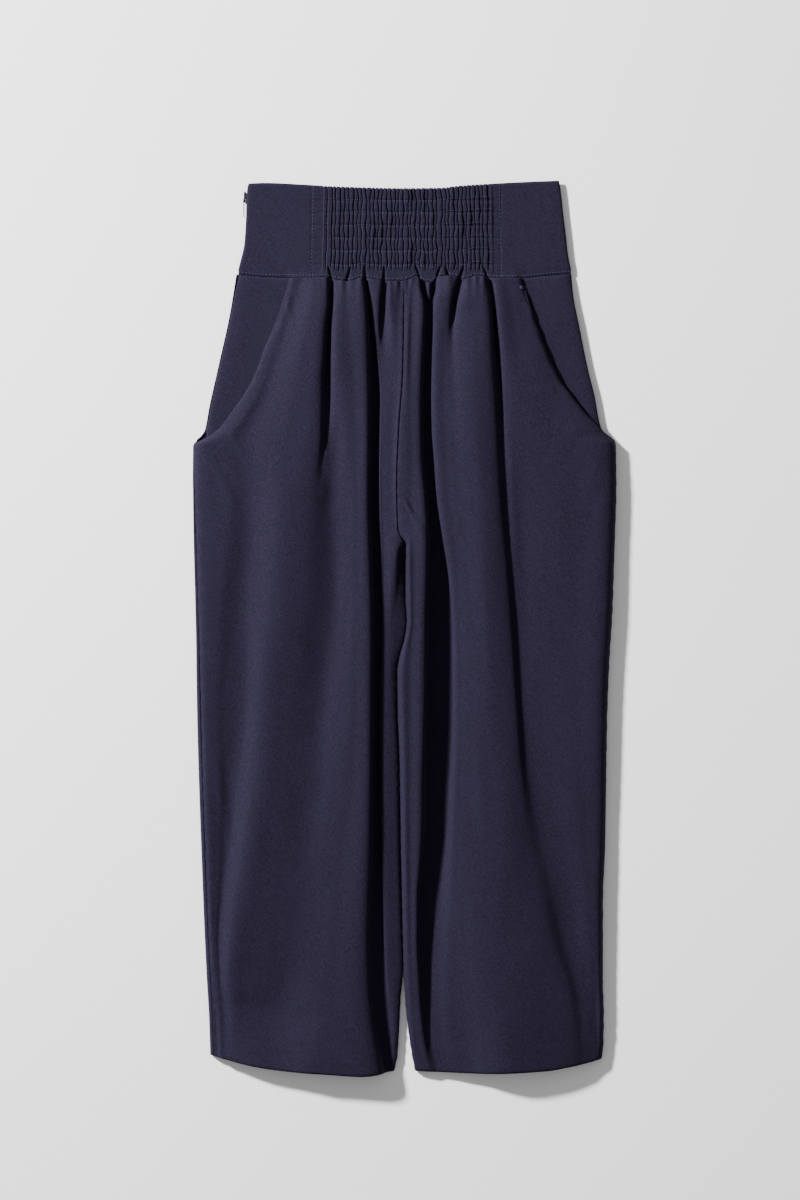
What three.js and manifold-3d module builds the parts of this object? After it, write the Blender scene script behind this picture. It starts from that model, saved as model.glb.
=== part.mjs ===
// Wide cropped trousers with a deep shirred waistband, laid flat on a table with the front up.
//
// Millimetres. The back lies on z = 0 and the front looks up. +X is to the viewer's right, which is
// the wearer's left, and +Y runs from the hems to the waist. The origin is on the table under the
// middle of the garment. "left" and "right" in every name are the wearer's.
//
// The cloth is a wall. Each leg is a tube of a front and a back panel. The front panel is lofted
// through lines that run down the leg, one for each crest, lip and floor of its folds. The
// waistband is a flat band whose middle is drawn up on rows of elastic into fine gathers.
import * as THREE from "three";
import { mergeVertices } from "three/addons/utils/BufferGeometryUtils.js";
import Module from "manifold-3d";

const kernel = await Module();
kernel.setup();

const CLOTH = 1.2; // wall of the double-woven suiting
const HEM_WALL = 2.2; // wall of the cloth where the hem is turned up
const HEM_DEPTH = 28;
const SEAM_GAP = 0.3; // between two pieces that are sewn together
const BAND_WALL = 1.5; // back waistband, cloth and interfacing
const WAIST_Y = 350; // height of the waist seam above the origin at the centre front
const WAIST_RISE = 4.6; // the seam curves up by this much towards the side seams
const HALF_WAIST = 166.5; // half width at the waist seam
const HEM_Y = -444;
const SEAM_HEIGHT = 3; // top of the back panels where they curl up to the side seams and inseams
const SEAM_TOP = SEAM_HEIGHT + SEAM_GAP; // where the front panels start above them
const FULLNESS = 1.9; // how much higher than their flanks the crests stand
const FULL_FROM = 8; // height from which that is felt
const FLOOR_OF_FRONT = 2 * CLOTH + SEAM_GAP; // lowest that the front's outer face can lie on the back

// Slopes of a smooth curve through the rows of a table, without overshoot between them.
function slopesOf(t, v) {
  const rise = t.slice(1).map((next, i) => (v[i + 1] - v[i]) / (next - t[i]));
  return t.map((_, i) => {
    if (i === 0) return rise[0];
    if (i === t.length - 1) return rise[i - 1];
    const before = rise[i - 1];
    const after = rise[i];
    return before * after <= 0 ? 0 : (2 * before * after) / (before + after);
  });
}

// A smooth function through the points [at, value], whose first column rises or falls throughout.
function smooth(points) {
  const rows = points[0][0] < points[points.length - 1][0] ? points : [...points].reverse();
  const t = rows.map((row) => row[0]);
  const v = rows.map((row) => row[1]);
  const slope = slopesOf(t, v);
  return (at) => {
    if (at <= t[0]) return v[0];
    if (at >= t[t.length - 1]) return v[t.length - 1];
    const i = t.findIndex((_, k) => at < t[k + 1]);
    const span = t[i + 1] - t[i];
    const s = (at - t[i]) / span;
    const s2 = s * s;
    const s3 = s2 * s;
    return (
      (2 * s3 - 3 * s2 + 1) * v[i] +
      (s3 - 2 * s2 + s) * span * slope[i] +
      (3 * s2 - 2 * s3) * v[i + 1] +
      (s3 - s2) * span * slope[i + 1]
    );
  };
}

// A line down a panel. Each row is [y, x, z] of the cloth's outer face, from the waist to the hem.
// steps is the number of columns of the panel from this line to the next.
function line(steps, ...rows) {
  const x = smooth(rows.map((row) => [row[0], row[1]]));
  const z = smooth(rows.map((row) => [row[0], row[2]]));
  return { steps, at: (y) => new THREE.Vector3(x(y), 0, z(y)) };
}

// A line at a distance dx beside an edge, with heights of its own as [y, z] rows.
function beside(steps, edge, dx, ...rows) {
  const z = smooth(rows);
  return { steps, at: (y) => new THREE.Vector3(edge.at(y).x + dx, 0, z(y)) };
}

// A line just inside a panel's edge, where the cloth turns down to the seam. Its rows are
// [y, in, up] from the edge.
function turn(steps, edge, dir, ...rows) {
  const inset = smooth(rows.map((row) => [row[0], row[1]]));
  const rise = smooth(rows.map((row) => [row[0], row[2]]));
  return {
    steps,
    at: (y) => edge.at(y).add(new THREE.Vector3(dir * inset(y), 0, rise(y))),
  };
}

const waistSeam = (x) => WAIST_Y + WAIST_RISE * Math.abs(x / HALF_WAIST) ** 3;

// Hems and the waistband's top edge, as [x, y] rows.
const rightHem = smooth([
  [-194, -427.5], [-179, -431.5], [-148, -438.8], [-118, -442.8], [-72, -446.2], [-41, -448], [-10, -443.5],
]);
const leftHem = smooth([
  [10, -443.6], [74, -445.4], [141, -442.8], [166, -438.7], [182, -435.3], [198, -431],
]);
const bandTop = smooth([
  [-156, 445.2], [-140, 445.8], [-100, 444], [-66, 442], [0, 440.4], [36, 440.8], [55, 442.8], [95, 445.4],
  [125, 446.9], [154, 448],
]);
// Side edges of the waistband, as [y, x] rows.
const bandRight = smooth([[355, -166.5], [384, -160.4], [424, -158.2], [437, -157.8], [446, -156]]);
const bandLeft = smooth([[355, 166.5], [370, 163.6], [388, 161.7], [410, 159], [432, 156.6], [449, 154]]);

// Side seams seen from above, waist to hem, at the height of the seam.
const rightSide = line(1,
  [355, -166.5, SEAM_TOP], [315, -173.6, SEAM_TOP], [261, -185.6, SEAM_TOP], [221, -194.5, SEAM_TOP],
  [198, -199, SEAM_TOP], [191, -203.5, SEAM_TOP], [183, -212, SEAM_TOP], [155, -212, SEAM_TOP],
  [92, -211.2, SEAM_TOP], [12, -209.2, SEAM_TOP], [-72, -208.2, SEAM_TOP], [-272, -201.8, SEAM_TOP],
  [-348, -198.4, SEAM_TOP], [-394, -196, SEAM_TOP], [-444, -194.6, SEAM_TOP]);
const leftSide = line(1,
  [355, 166.5, SEAM_TOP], [333, 168.7, SEAM_TOP], [299, 175.6, SEAM_TOP], [261, 183.3, SEAM_TOP],
  [233, 190.2, SEAM_TOP], [200, 197, SEAM_TOP], [185, 211.6, SEAM_TOP], [141, 212, SEAM_TOP],
  [93, 210.8, SEAM_TOP], [17, 207.8, SEAM_TOP], [-41, 204.6, SEAM_TOP], [-92, 202.8, SEAM_TOP],
  [-221, 200.8, SEAM_TOP], [-272, 198.6, SEAM_TOP], [-355, 198.6, SEAM_TOP], [-388, 199.4, SEAM_TOP],
  [-431, 198.6, SEAM_TOP], [-444, 197.4, SEAM_TOP]);

// Centre-front seam, then the inseam of each leg, with a small gap between the two legs.
const rightInner = line(0,
  [355, -0.2, 8], [256, -1.8, 10.6], [200, -5.7, 10.8], [144, -7.7, 10.8], [99, -6.8, 10.5], [91, -3.6, 9.8],
  [84, 0.4, 8], [78, 0.5, 5.5], [68, 0.6, SEAM_TOP], [32, 0.6, SEAM_TOP], [6, 1.8, SEAM_TOP],
  [-12, -0.8, SEAM_TOP], [-28, -5.2, SEAM_TOP], [-44, -7.6, SEAM_TOP], [-82, -7.2, SEAM_TOP],
  [-130, -5.4, SEAM_TOP], [-232, -3.8, SEAM_TOP], [-340, -1.4, SEAM_TOP], [-369, -3.9, SEAM_TOP],
  [-409, -5.9, SEAM_TOP], [-429, -7.4, SEAM_TOP], [-444, -10.6, SEAM_TOP]);
const leftInner = line(1,
  [355, 0.2, 8], [256, -1.4, 10.6], [200, -5.3, 10.8], [144, -7.3, 10.8], [99, -6.4, 10.5],
  [91, -3.2, 9.8], [84, 0.8, 8], [68, 1, SEAM_TOP], [32, 1, SEAM_TOP], [6, 2.2, SEAM_TOP],
  [-12, -0.4, SEAM_TOP], [-28, -4.8, SEAM_TOP], [-44, -7.2, SEAM_TOP], [-82, -6.8, SEAM_TOP],
  [-130, -5, SEAM_TOP], [-232, -3.4, SEAM_TOP], [-340, -1, SEAM_TOP], [-379, 1.2, SEAM_TOP],
  [-405, 4, SEAM_TOP], [-425, 7, SEAM_TOP], [-444, 10.6, SEAM_TOP]);

// Right front panel: the scooped pocket edge runs into the side seam, which is rolled to the front.
const rightPocketEdge = line(1,
  [355, -114, 4.8], [341, -117.5, 6.4], [305, -129.6, 7.6], [278, -141, 8], [256, -149, 8.2], [236, -159, 8.4],
  [216.5, -173, 8.4], [201, -184.5, 8], [191, -197, 7.2], [183, -211.4, 5.4], [133, -210, 7],
  [8, -206, 7.9], [-72, -204.2, 8], [-272, -197.7, 8], [-394, -191.9, 7.6], [-444, -190.4, 7]);
const RIGHT_FRONT_FOLDS = [
  rightPocketEdge,
  beside(2, rightPocketEdge, 3.2, [355, 7.4], [236, 9.2], [183, 8.6], [8, 9], [-272, 8.9], [-444, 7.6]),
  // outer ridge
  line(2, [355, -108, 7.7], [278, -132, 9.3], [236, -147, 9.9], [205, -166, 10.2], [183, -181, 10],
    [128, -178, 10.2], [48, -184, 9.7], [8, -187, 9.4], [-72, -190, 8.9], [-152, -186, 8.6],
    [-232, -186.5, 8.6], [-312, -189, 8.6], [-352, -187.5, 8.6], [-394, -185.5, 8.8], [-444, -184.6, 9]),
  // outer trough
  line(3, [355, -101, 7.8], [278, -124, 9.4], [236, -138, 9.8], [183, -157, 9.6], [128, -155, 9.3],
    [88, -156, 8.8], [48, -160, 8.3], [8, -161.5, 7.9], [-32, -162.5, 7.3], [-72, -165.5, 6.9],
    [-112, -167.5, 6.9], [-152, -172.5, 7.2], [-192, -174.5, 7.6], [-232, -178, 8], [-272, -182.5, 8.2],
    [-312, -185.5, 8.3], [-352, -184, 8.5], [-394, -180, 9], [-444, -179, 9.6]),
  // outer crest
  line(2, [355, -93, 8.4], [338, -90, 10.4], [308, -94, 11.8], [278, -100, 12.4], [248, -104, 12.8],
    [218, -110, 13], [188, -117, 13.1], [128, -124, 13.2], [88, -127, 13], [48, -131, 12.8],
    [8, -135, 12.4], [-32, -139, 11.8], [-72, -143, 11.3], [-112, -146, 11.3], [-152, -150, 11.6],
    [-192, -156, 11.8], [-232, -162, 12], [-272, -168, 12.1], [-312, -173, 11.9], [-352, -176, 10.9],
    [-382, -173, 10.4], [-444, -170, 10.6]),
  // fold one: lip, floor, lip
  line(2, [355, -76, 8.4], [328, -75.6, 10], [298, -78.6, 10.8], [270, -80.4, 11.3], [228, -84.4, 12],
    [188, -86.4, 12.6], [158, -89.6, 12.7], [128, -94, 12.8], [88, -98, 12.6], [48, -101, 12.3],
    [8, -105, 11.9], [-32, -111, 11.3], [-72, -115.6, 10.9], [-112, -119, 10.9], [-152, -123, 11.3],
    [-192, -129, 11.4], [-232, -135, 11.7], [-272, -140, 11.8], [-312, -146.6, 11.6], [-352, -153, 10.9],
    [-382, -158, 10.4], [-444, -152, 11.8]),
  line(1, [355, -72, 5], [328, -73.2, 3.6], [298, -75, 4], [270, -76, 5.4], [228, -77.6, 7],
    [188, -80, 8.8], [158, -80.6, 9.9], [128, -74, 10], [48, -69.6, 9.5], [8, -71.6, 9], [-32, -77, 8.7],
    [-72, -81.6, 8.6], [-112, -85, 8.9], [-152, -86.6, 9.6], [-192, -94, 9.8], [-232, -99, 10.2],
    [-272, -104, 10.4], [-312, -110, 10.4], [-352, -118, 10], [-382, -126, 9.6], [-412, -124, 11.2],
    [-444, -118, 13.2]),
  line(2, [355, -68.4, 8], [328, -70.2, 9.8], [298, -71.8, 10.8], [270, -71.8, 11.2], [228, -70, 10.9],
    [188, -69, 10.9], [158, -66, 11], [128, -61, 10.9], [48, -60, 10.7], [8, -60, 10.4], [-72, -68, 10.1],
    [-152, -72, 10.8], [-232, -82, 11.3], [-312, -84, 11.8], [-352, -90, 11.8], [-382, -100, 11.6],
    [-412, -98, 13], [-444, -98, 14.6]),
  // middle crest
  line(2, [355, -56, 8.8], [328, -56, 11], [283, -54, 11.8], [228, -50, 11.9], [128, -49, 12],
    [-72, -50, 12], [-152, -54, 12], [-232, -64, 12.2], [-312, -70, 12.4], [-352, -74, 12.5],
    [-444, -86, 14.4]),
  // fold two, the deep one: lip, floor, floor, lip
  line(2, [355, -42.4, 8.2], [328, -38.6, 10.6], [283, -36.4, 11.2], [228, -35.6, 11.5], [128, -35.8, 11.7],
    [58, -33.6, 11.8], [0, -31.8, 11.8], [-72, -32.4, 11.8], [-152, -32.8, 11.8], [-232, -34, 11.8],
    [-312, -35.8, 12], [-352, -35, 12], [-389, -32, 12], [-444, -22.6, 12]),
  line(1, [355, -40.2, 5], [328, -37, 3.6], [283, -33.4, 3], [228, -31.6, 3], [128, -32, 3],
    [58, -29.8, 3], [0, -28.6, 3], [-72, -29.2, 3], [-152, -29.8, 3], [-232, -30.6, 3.6], [-312, -31.8, 4.8],
    [-352, -30.6, 5.4], [-389, -27.4, 6], [-444, -18.2, 6]),
  line(1, [355, -38.8, 5], [328, -36.2, 3.6], [298, -33, 3], [270, -29.2, 3], [228, -25.8, 3],
    [198, -27, 3], [128, -27, 3], [58, -24.8, 3], [0, -24.4, 3], [-72, -26, 3], [-112, -27, 3],
    [-192, -25, 3.2], [-272, -23, 4.2], [-312, -21.8, 5], [-352, -19, 5.6], [-389, -15.8, 5.4],
    [-444, -14.8, 4.6]),
  line(1, [355, -36.4, 7.4], [328, -34.6, 7.8], [298, -31.4, 8], [270, -27.6, 8.4], [228, -24.2, 8.6],
    [128, -25.4, 8.6], [58, -23.2, 8], [0, -22.8, 7.6], [-72, -24.4, 7.5], [-192, -23.4, 7.5],
    [-312, -20.2, 7.2], [-352, -17.4, 6.8], [-389, -14.2, 6], [-444, -13.6, 5]),
  // short pleat beside the centre: lip and floor
  line(1, [355, -23, 8.2], [328, -24.8, 9], [298, -26, 9.2], [283, -24.8, 8.8], [228, -22, 9],
    [128, -22, 9], [58, -20.5, 8.3], [0, -20.5, 8.1], [-72, -21.5, 8], [-192, -20.8, 8],
    [-312, -17.6, 7.8], [-352, -15.4, 7.2], [-389, -12.8, 6.3], [-444, -12.9, 5.2]),
  line(1, [355, -19, 5], [328, -21.2, 5], [298, -22.4, 7.2], [276, -20.5, 8.9], [228, -17.6, 9.4],
    [128, -18, 9.4], [58, -17, 8.8], [0, -17, 8.2], [-72, -18, 8], [-192, -17, 8], [-312, -14.4, 7.7],
    [-389, -11.6, 6.5], [-444, -12.4, 5.4]),
  // inner crest and inner shoulder
  line(2, [355, -14.4, 8.4], [328, -15.6, 9.6], [283, -12.5, 9.8], [228, -12, 9.8], [128, -12.5, 9.9],
    [58, -13.6, 9.4], [0, -13.6, 8.1], [-44, -14.6, 7.8], [-72, -14, 7.6], [-192, -13, 7.6],
    [-312, -10.6, 7.3], [-389, -10, 6.6], [-444, -11.8, 5.5]),
  line(2, [355, -6, 8.6], [256, -7, 10.3], [144, -10.2, 10.5], [99, -8.6, 10.4], [84, -6.5, 10],
    [66, -7.5, 9.4], [48, -8, 8.8], [8, -8.4, 7.4], [-28, -10.2, 7], [-44, -11.4, 6.8], [-72, -10.6, 6.6],
    [-130, -8.6, 6.6], [-232, -6.8, 6.6], [-340, -4.4, 6.2], [-369, -6, 6], [-409, -8, 5.8], [-444, -11.2, 5.4]),
  turn(1, rightInner, -1, [355, 1.2, 0.3], [99, 1.2, 0.3], [84, 0.8, 0.9], [68, 0.1, 1.3], [-444, 0.1, 1.3]),
  rightInner,
];

// Left front panel, from the centre to the pocket edge.
const leftPocketEdge = line(0,
  [355, 116.6, 4.8], [341, 120, 6.4], [320, 126, 8], [291, 136, 8.6], [265, 147, 8.8], [245, 157.5, 8.8],
  [232, 167.5, 8.7], [218, 178.5, 8.4], [200, 196.4, 7.6], [191, 204.8, 6.8], [184, 211.6, 4],
  [141, 212, SEAM_TOP], [93, 210.8, SEAM_TOP], [17, 207.8, SEAM_TOP], [-41, 204.6, SEAM_TOP],
  [-92, 202.8, SEAM_TOP], [-221, 200.8, SEAM_TOP], [-272, 198.6, SEAM_TOP], [-355, 198.6, SEAM_TOP],
  [-388, 199.4, SEAM_TOP], [-431, 198.6, SEAM_TOP], [-444, 197.4, SEAM_TOP]);
const LEFT_FRONT_FOLDS = [
  leftInner,
  turn(2, leftInner, 1, [355, 1.2, 0.3], [99, 1.2, 0.3], [84, 0.8, 0.9], [68, 0.1, 1.3], [-444, 0.1, 1.3]),
  // inner shoulder and inner crest
  line(2, [355, 5, 8.6], [256, 2, 11.3], [144, -2, 11.5], [99, -1, 11.6], [84, 3.6, 12.2], [66, 3.6, 12.6],
    [8, 4.6, 12.8], [-28, -2.2, 12.7], [-44, -4.4, 12.6], [-130, -2, 12.5], [-232, -0.4, 11.7],
    [-340, 2, 10], [-405, 6.4, 8], [-444, 12.8, 5.8]),
  line(1, [355, 8.4, 8.6], [228, 6, 11.2], [128, 7, 11.6], [68, 9, 12.9], [8, 9.6, 13.1],
    [-28, 6.5, 13.1], [-72, 6, 13], [-152, 6, 12.8], [-232, 6, 12.1], [-312, 6.8, 11.2], [-372, 9, 10.2],
    [-405, 12, 9], [-444, 18, 6.8]),
  // fold three, the widest: lip, floor, small ridge at the waist, floor, lip
  line(2, [355, 13, 8.2], [340, 15.4, 9.4], [329, 19.2, 10], [316, 19.8, 10.2], [284, 18, 10.5],
    [228, 16.8, 10.6], [172, 17.6, 10.8], [128, 21.2, 11.8], [88, 23, 12.7], [59, 22.8, 13], [0, 21.4, 13],
    [-72, 21, 13], [-112, 20, 12.9], [-152, 18.8, 12.7], [-192, 18.2, 12.5], [-232, 16.2, 12.1],
    [-272, 13, 11.8], [-312, 12.8, 11.2], [-352, 15, 10.6], [-405, 18.8, 9.4], [-444, 25.6, 7.6]),
  line(1, [355, 16.8, 5], [340, 19, 3.8], [329, 21.8, 3.1], [316, 22.8, 3], [284, 21.2, 3], [228, 20.2, 3],
    [172, 21.2, 3], [128, 24.8, 3], [88, 26.8, 3], [59, 26.6, 3], [0, 25.4, 3], [-72, 25, 3],
    [-112, 24, 3], [-192, 22, 3], [-232, 20, 3], [-272, 17, 3.2], [-312, 17, 4], [-350, 19.4, 5],
    [-405, 24, 6.4], [-444, 32, 6.4]),
  line(1, [355, 24.5, 8.4], [344, 24.6, 9], [336, 24.8, 8], [329, 24.8, 5.6], [322, 24.7, 3.2], [284, 23.7, 3],
    [228, 22.8, 3], [172, 23.8, 3], [128, 27.6, 3], [88, 31.6, 3], [59, 34.6, 3], [0, 35, 3], [-72, 35, 3],
    [-152, 33, 3], [-231, 29.6, 3], [-272, 27, 3.4], [-310, 25.4, 4.2], [-350, 25, 5.2], [-405, 28.4, 6.8],
    [-444, 37, 6.8]),
  line(1, [355, 31.6, 5], [340, 29.8, 3.8], [329, 27.6, 3.1], [298, 27.4, 3], [270, 26.6, 3], [228, 25.8, 3],
    [198, 26.4, 3], [172, 28.4, 3], [128, 31.8, 3], [87, 37.8, 3], [48, 43.6, 3], [3, 46.4, 3],
    [-72, 47.6, 3], [-112, 46.8, 3], [-152, 45, 3], [-192, 43, 3], [-232, 39.6, 3.6], [-272, 36, 4.8],
    [-312, 32, 5.8], [-350, 31, 6.6], [-405, 33, 7.4], [-444, 42, 7.4]),
  line(2, [355, 35, 7.8], [340, 32, 8.6], [329, 29.4, 9], [298, 29, 9.2], [270, 28.2, 9.2],
    [228, 27.4, 9.2], [198, 28, 9.2], [172, 30, 9.2], [128, 33.4, 9.2], [87, 39.6, 9.3], [48, 45.4, 9.4],
    [3, 48.4, 9.4], [-72, 49.6, 9.4], [-112, 49.2, 9.4], [-152, 48, 9.4], [-192, 46.8, 9.3],
    [-232, 45, 9.2], [-272, 43, 9], [-312, 41, 8.9], [-350, 40, 8.8], [-405, 42, 8.7], [-444, 50, 8.5]),
  // short pleat: lip, floor, lip
  line(1, [355, 52.6, 8.4], [338, 50, 10], [322, 46.6, 10.5], [283, 42, 10.3], [228, 41, 10.4],
    [128, 46, 10.7], [59, 54, 11], [-72, 58, 11.2], [-231, 54, 11], [-310, 52, 10.5], [-350, 52, 10],
    [-444, 62, 9.6]),
  line(1, [355, 56.4, 5], [337, 53.4, 4.6], [322, 50, 7], [298, 48, 9.4], [276, 47.8, 10.3],
    [228, 50, 10.9], [128, 56, 11.7], [59, 64, 12], [-72, 68, 12.1], [-231, 63, 12], [-310, 61, 11.5],
    [-350, 61, 11], [-444, 70, 10.6]),
  line(2, [355, 60.6, 8.2], [337, 56.6, 9.9], [322, 54, 10.8], [298, 53.4, 11.2], [276, 54.4, 11.6],
    [228, 58, 12.2], [128, 64, 12.7], [59, 71, 12.8], [-72, 77, 12.9], [-231, 76, 13.1],
    [-310, 76, 13.2], [-444, 79, 12.4]),
  // middle crest
  line(2, [355, 72, 8.8], [328, 70, 12], [283, 71, 13], [228, 72, 13.3], [128, 77.4, 13.5], [59, 81, 13.4],
    [-72, 88, 13.4], [-152, 94, 13.6], [-232, 102, 13.9], [-312, 98, 14.1], [-372, 98, 14.2],
    [-444, 101, 14.3]),
  // fold four: lip, floor, lip
  line(2, [355, 80.4, 8.4], [328, 85, 10.4], [298, 87.4, 11.2], [270, 88.8, 11.4], [228, 91, 11.5],
    [188, 92, 11.6], [128, 95.4, 11.7], [58, 101.4, 11.6], [-12, 106.4, 11.5], [-72, 110, 11.7],
    [-132, 113.6, 11.9], [-192, 120, 12], [-252, 131, 12.2], [-312, 146, 12.2], [-372, 164, 11.4],
    [-444, 168, 11.2]),
  line(2, [355, 84.6, 5], [328, 88.4, 3.6], [298, 91, 3.8], [270, 93, 6.2], [228, 95.4, 8],
    [188, 97, 8.8], [128, 100.6, 9.2], [58, 106, 9.2], [-12, 111, 9.3], [-72, 116, 9.5], [-132, 121.6, 9.6],
    [-192, 132, 9.7], [-252, 146, 9.7], [-312, 159, 9.7], [-372, 174, 9.6], [-444, 180, 9.7]),
  line(2, [355, 88.4, 7.8], [328, 91.4, 9.2], [298, 94.2, 9.8], [270, 96.8, 9.8], [228, 100, 9.6],
    [188, 105, 9.6], [128, 112, 9.5], [58, 118, 9.4], [-12, 124, 9.3], [-72, 131, 9.3], [-132, 139, 9.3],
    [-192, 150, 9.2], [-252, 162, 9.2], [-312, 173, 9.2], [-372, 183.5, 9.2], [-444, 187, 8.9]),
  // outer plain
  line(2, [355, 102, 8.4], [283, 116, 10.2], [228, 136, 10.3], [183, 154, 10.3], [128, 166, 10.3],
    [-72, 172, 10.4], [-232, 181, 10.2], [-312, 187, 9.8], [-372, 190.4, 9], [-444, 192, 8.4]),
  beside(2, leftPocketEdge, -2.6, [355, 7.6], [265, 9.6], [200, 9.4], [184, 9], [141, 9.2], [-272, 9],
    [-388, 8.6], [-444, 7.6]),
  turn(1, leftPocketEdge, -1, [355, 1.2, 0.2], [200, 1.2, 0.5], [184, 0.4, 1.2], [141, 0.1, 1.3], [-444, 0.1, 1.3]),
  leftPocketEdge,
];

// Pocket facings: the part of the hip that shows behind each pocket edge, on to the hidden inside.
const FACING_REACH = 24; // how far a facing runs in under the front
const FACING_FOOT_Y = 158;
const facingTop = smooth([[355, 3.1], [338, 4.8], [300, 5.6], [158, 5.6]]);
// The back's curl at the side seam is lower at the waist and at the foot of the pocket mouth.
const sideRise = smooth([
  [355, 0.5], [338, 0.95], [325, 1], [204, 1], [194, 0.35], [186, 0.35], [178, 1], [-450, 1],
]);
// The facing's outer edge stays clear of the front below the pocket mouth.
const facingInset = smooth([[355, 1.8], [330, 0.4], [315, 0], [199, 0], [183, 12], [158, 14]]);
function facingLines(side, pocketEdge, sign) {
  const across = (steps, inset, height) => ({
    steps,
    at: (y) => new THREE.Vector3(side.at(y).x - sign * (facingInset(y) + inset), 0, height(y)),
  });
  const inward = (steps, share) => ({
    steps,
    at: (y) => {
      const from = side.at(y).x - sign * (facingInset(y) + 6);
      const to = pocketEdge.at(Math.max(y, 205)).x - sign * FACING_REACH;
      return new THREE.Vector3(from + share * (to - from), 0, facingTop(y));
    },
  });
  const low = (y) => SEAM_HEIGHT * sideRise(y) + 2 * SEAM_GAP;
  return [
    across(1, 0, low),
    across(1, 0.15, (y) => (low(y) + facingTop(y)) / 2),
    across(1, 2.2, facingTop),
    inward(3, 0.5),
    inward(1, 1),
  ];
}

// Back panels: flat on the table, curled up at both edges to meet the front at its seams.
const CURL = [
  // distance in from the seam where it is curled up, and where it is flat, and share of the seam's height
  [0, 0, 1],
  [0.12, 1.5, 0.5],
  [1.6, 3, 0.08],
  [4.5, 4.5, 0],
];
const BACK_STEPS = 5; // columns across the flat of a back panel
// The back's inner edge is flat above the crotch, and curls up to the inseam below it.
const seamRise = smooth([[355, 0], [98, 0], [84, 0.2], [68, 1], [-450, 1]]);
const rightBackInner = smooth([[355, -0.2], [90, 0], [68, 0.6]]);
const leftBackInner = smooth([[355, 0.2], [90, 0.4], [68, 1]]);
function backLines(side, inner, innerAbove, sign, roll) {
  const curlAt = (xOf, dir, [curled, flat, share], rise, steps) => ({
    steps,
    at: (y) =>
      new THREE.Vector3(xOf(y) + dir * (flat + (curled - flat) * rise(y)), 0, SEAM_HEIGHT * share * rise(y)),
  });
  const sideX = (y) => side.at(y).x;
  const innerX = (y) => (y > 68 ? innerAbove(y) : inner.at(y).x);
  return [
    ...roll,
    ...CURL.map((row, k) => curlAt(sideX, -sign, row, sideRise, k === CURL.length - 1 ? BACK_STEPS : 1)),
    ...[...CURL].reverse().map((row) => curlAt(innerX, sign, row, seamRise, 1)),
  ];
}
// The right side seam is rolled on to the front, so the back shows as a strip beside it. The roll's
// two lines run beside the seam and a little way down from it.
const rolledShare = smooth([[355, 0], [186, 0], [150, 1], [-450, 1]]);
const rollLine = (steps, apart, down) => ({
  steps,
  at: (y) => {
    const seam = rightPocketEdge.at(y);
    const side = rightSide.at(y);
    const share = rolledShare(y);
    const foot = SEAM_HEIGHT * sideRise(y) + 0.1;
    const x = Math.max(side.x, seam.x - apart);
    return new THREE.Vector3(side.x + share * (x - side.x), 0, foot + share * (seam.z - down - foot));
  },
});
const RIGHT_ROLL = [rollLine(1, SEAM_GAP, 0), rollLine(1, 1.5, 0.15), rollLine(2, 3, 1.4)];

// The smooth section through the lines of a panel at one height, as points from its first line to its last.
function sectionAt(lines, y, fineness = 1) {
  const curve = new THREE.CatmullRomCurve3(lines.map((l) => l.at(y)), false, "centripetal");
  const spans = lines.length - 1;
  const points = [];
  for (let i = 0; i < spans; i++) {
    const steps = lines[i].steps * fineness;
    for (let k = 0; k < steps; k++) points.push(curve.getPoint((i + k / steps) / spans));
  }
  points.push(curve.getPoint(1));
  return points;
}

// Rows of a leg, closer together where the pocket mouth, the crotch and the waist gathers need it.
const LEG_ROWS = [
  350, 339, 326, 308, 286, 262, 238, 218, 204, 194, 186, 170, 146, 118, 98, 86, 76, 66, 44, 14, -16, -44,
  -90, -150, -215, -275, -330, -375, -412, -444,
];
const TOP_FADE = 60; // how far down the waist seam's curve is felt
const HEM_FADE = 120;
const fade = (distance, reach) => Math.max(0, 1 - distance / reach) ** 2;

// Moves a point of a nominal row so that the first row follows the waist seam and the last the hem.
function drape(point, y, hem) {
  const atWaist = fade(WAIST_Y - y, TOP_FADE) * (waistSeam(point.x) - WAIST_Y - SEAM_GAP / 2);
  const atHem = fade(y - HEM_Y, HEM_FADE) * (hem(point.x) - HEM_Y);
  point.y = y + atWaist + atHem;
  return point;
}

// Unit normals of a grid of points, from its neighbours along and across.
function normalsOf(grid) {
  return grid.map((row, j) =>
    row.map((_, i) => {
      const after = row[Math.min(i + 1, row.length - 1)];
      const across = new THREE.Vector3().subVectors(after, row[Math.max(i - 1, 0)]);
      const down = new THREE.Vector3().subVectors(
        grid[Math.min(j + 1, grid.length - 1)][i],
        grid[Math.max(j - 1, 0)][i],
      );
      return down.cross(across).normalize();
    }),
  );
}

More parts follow.
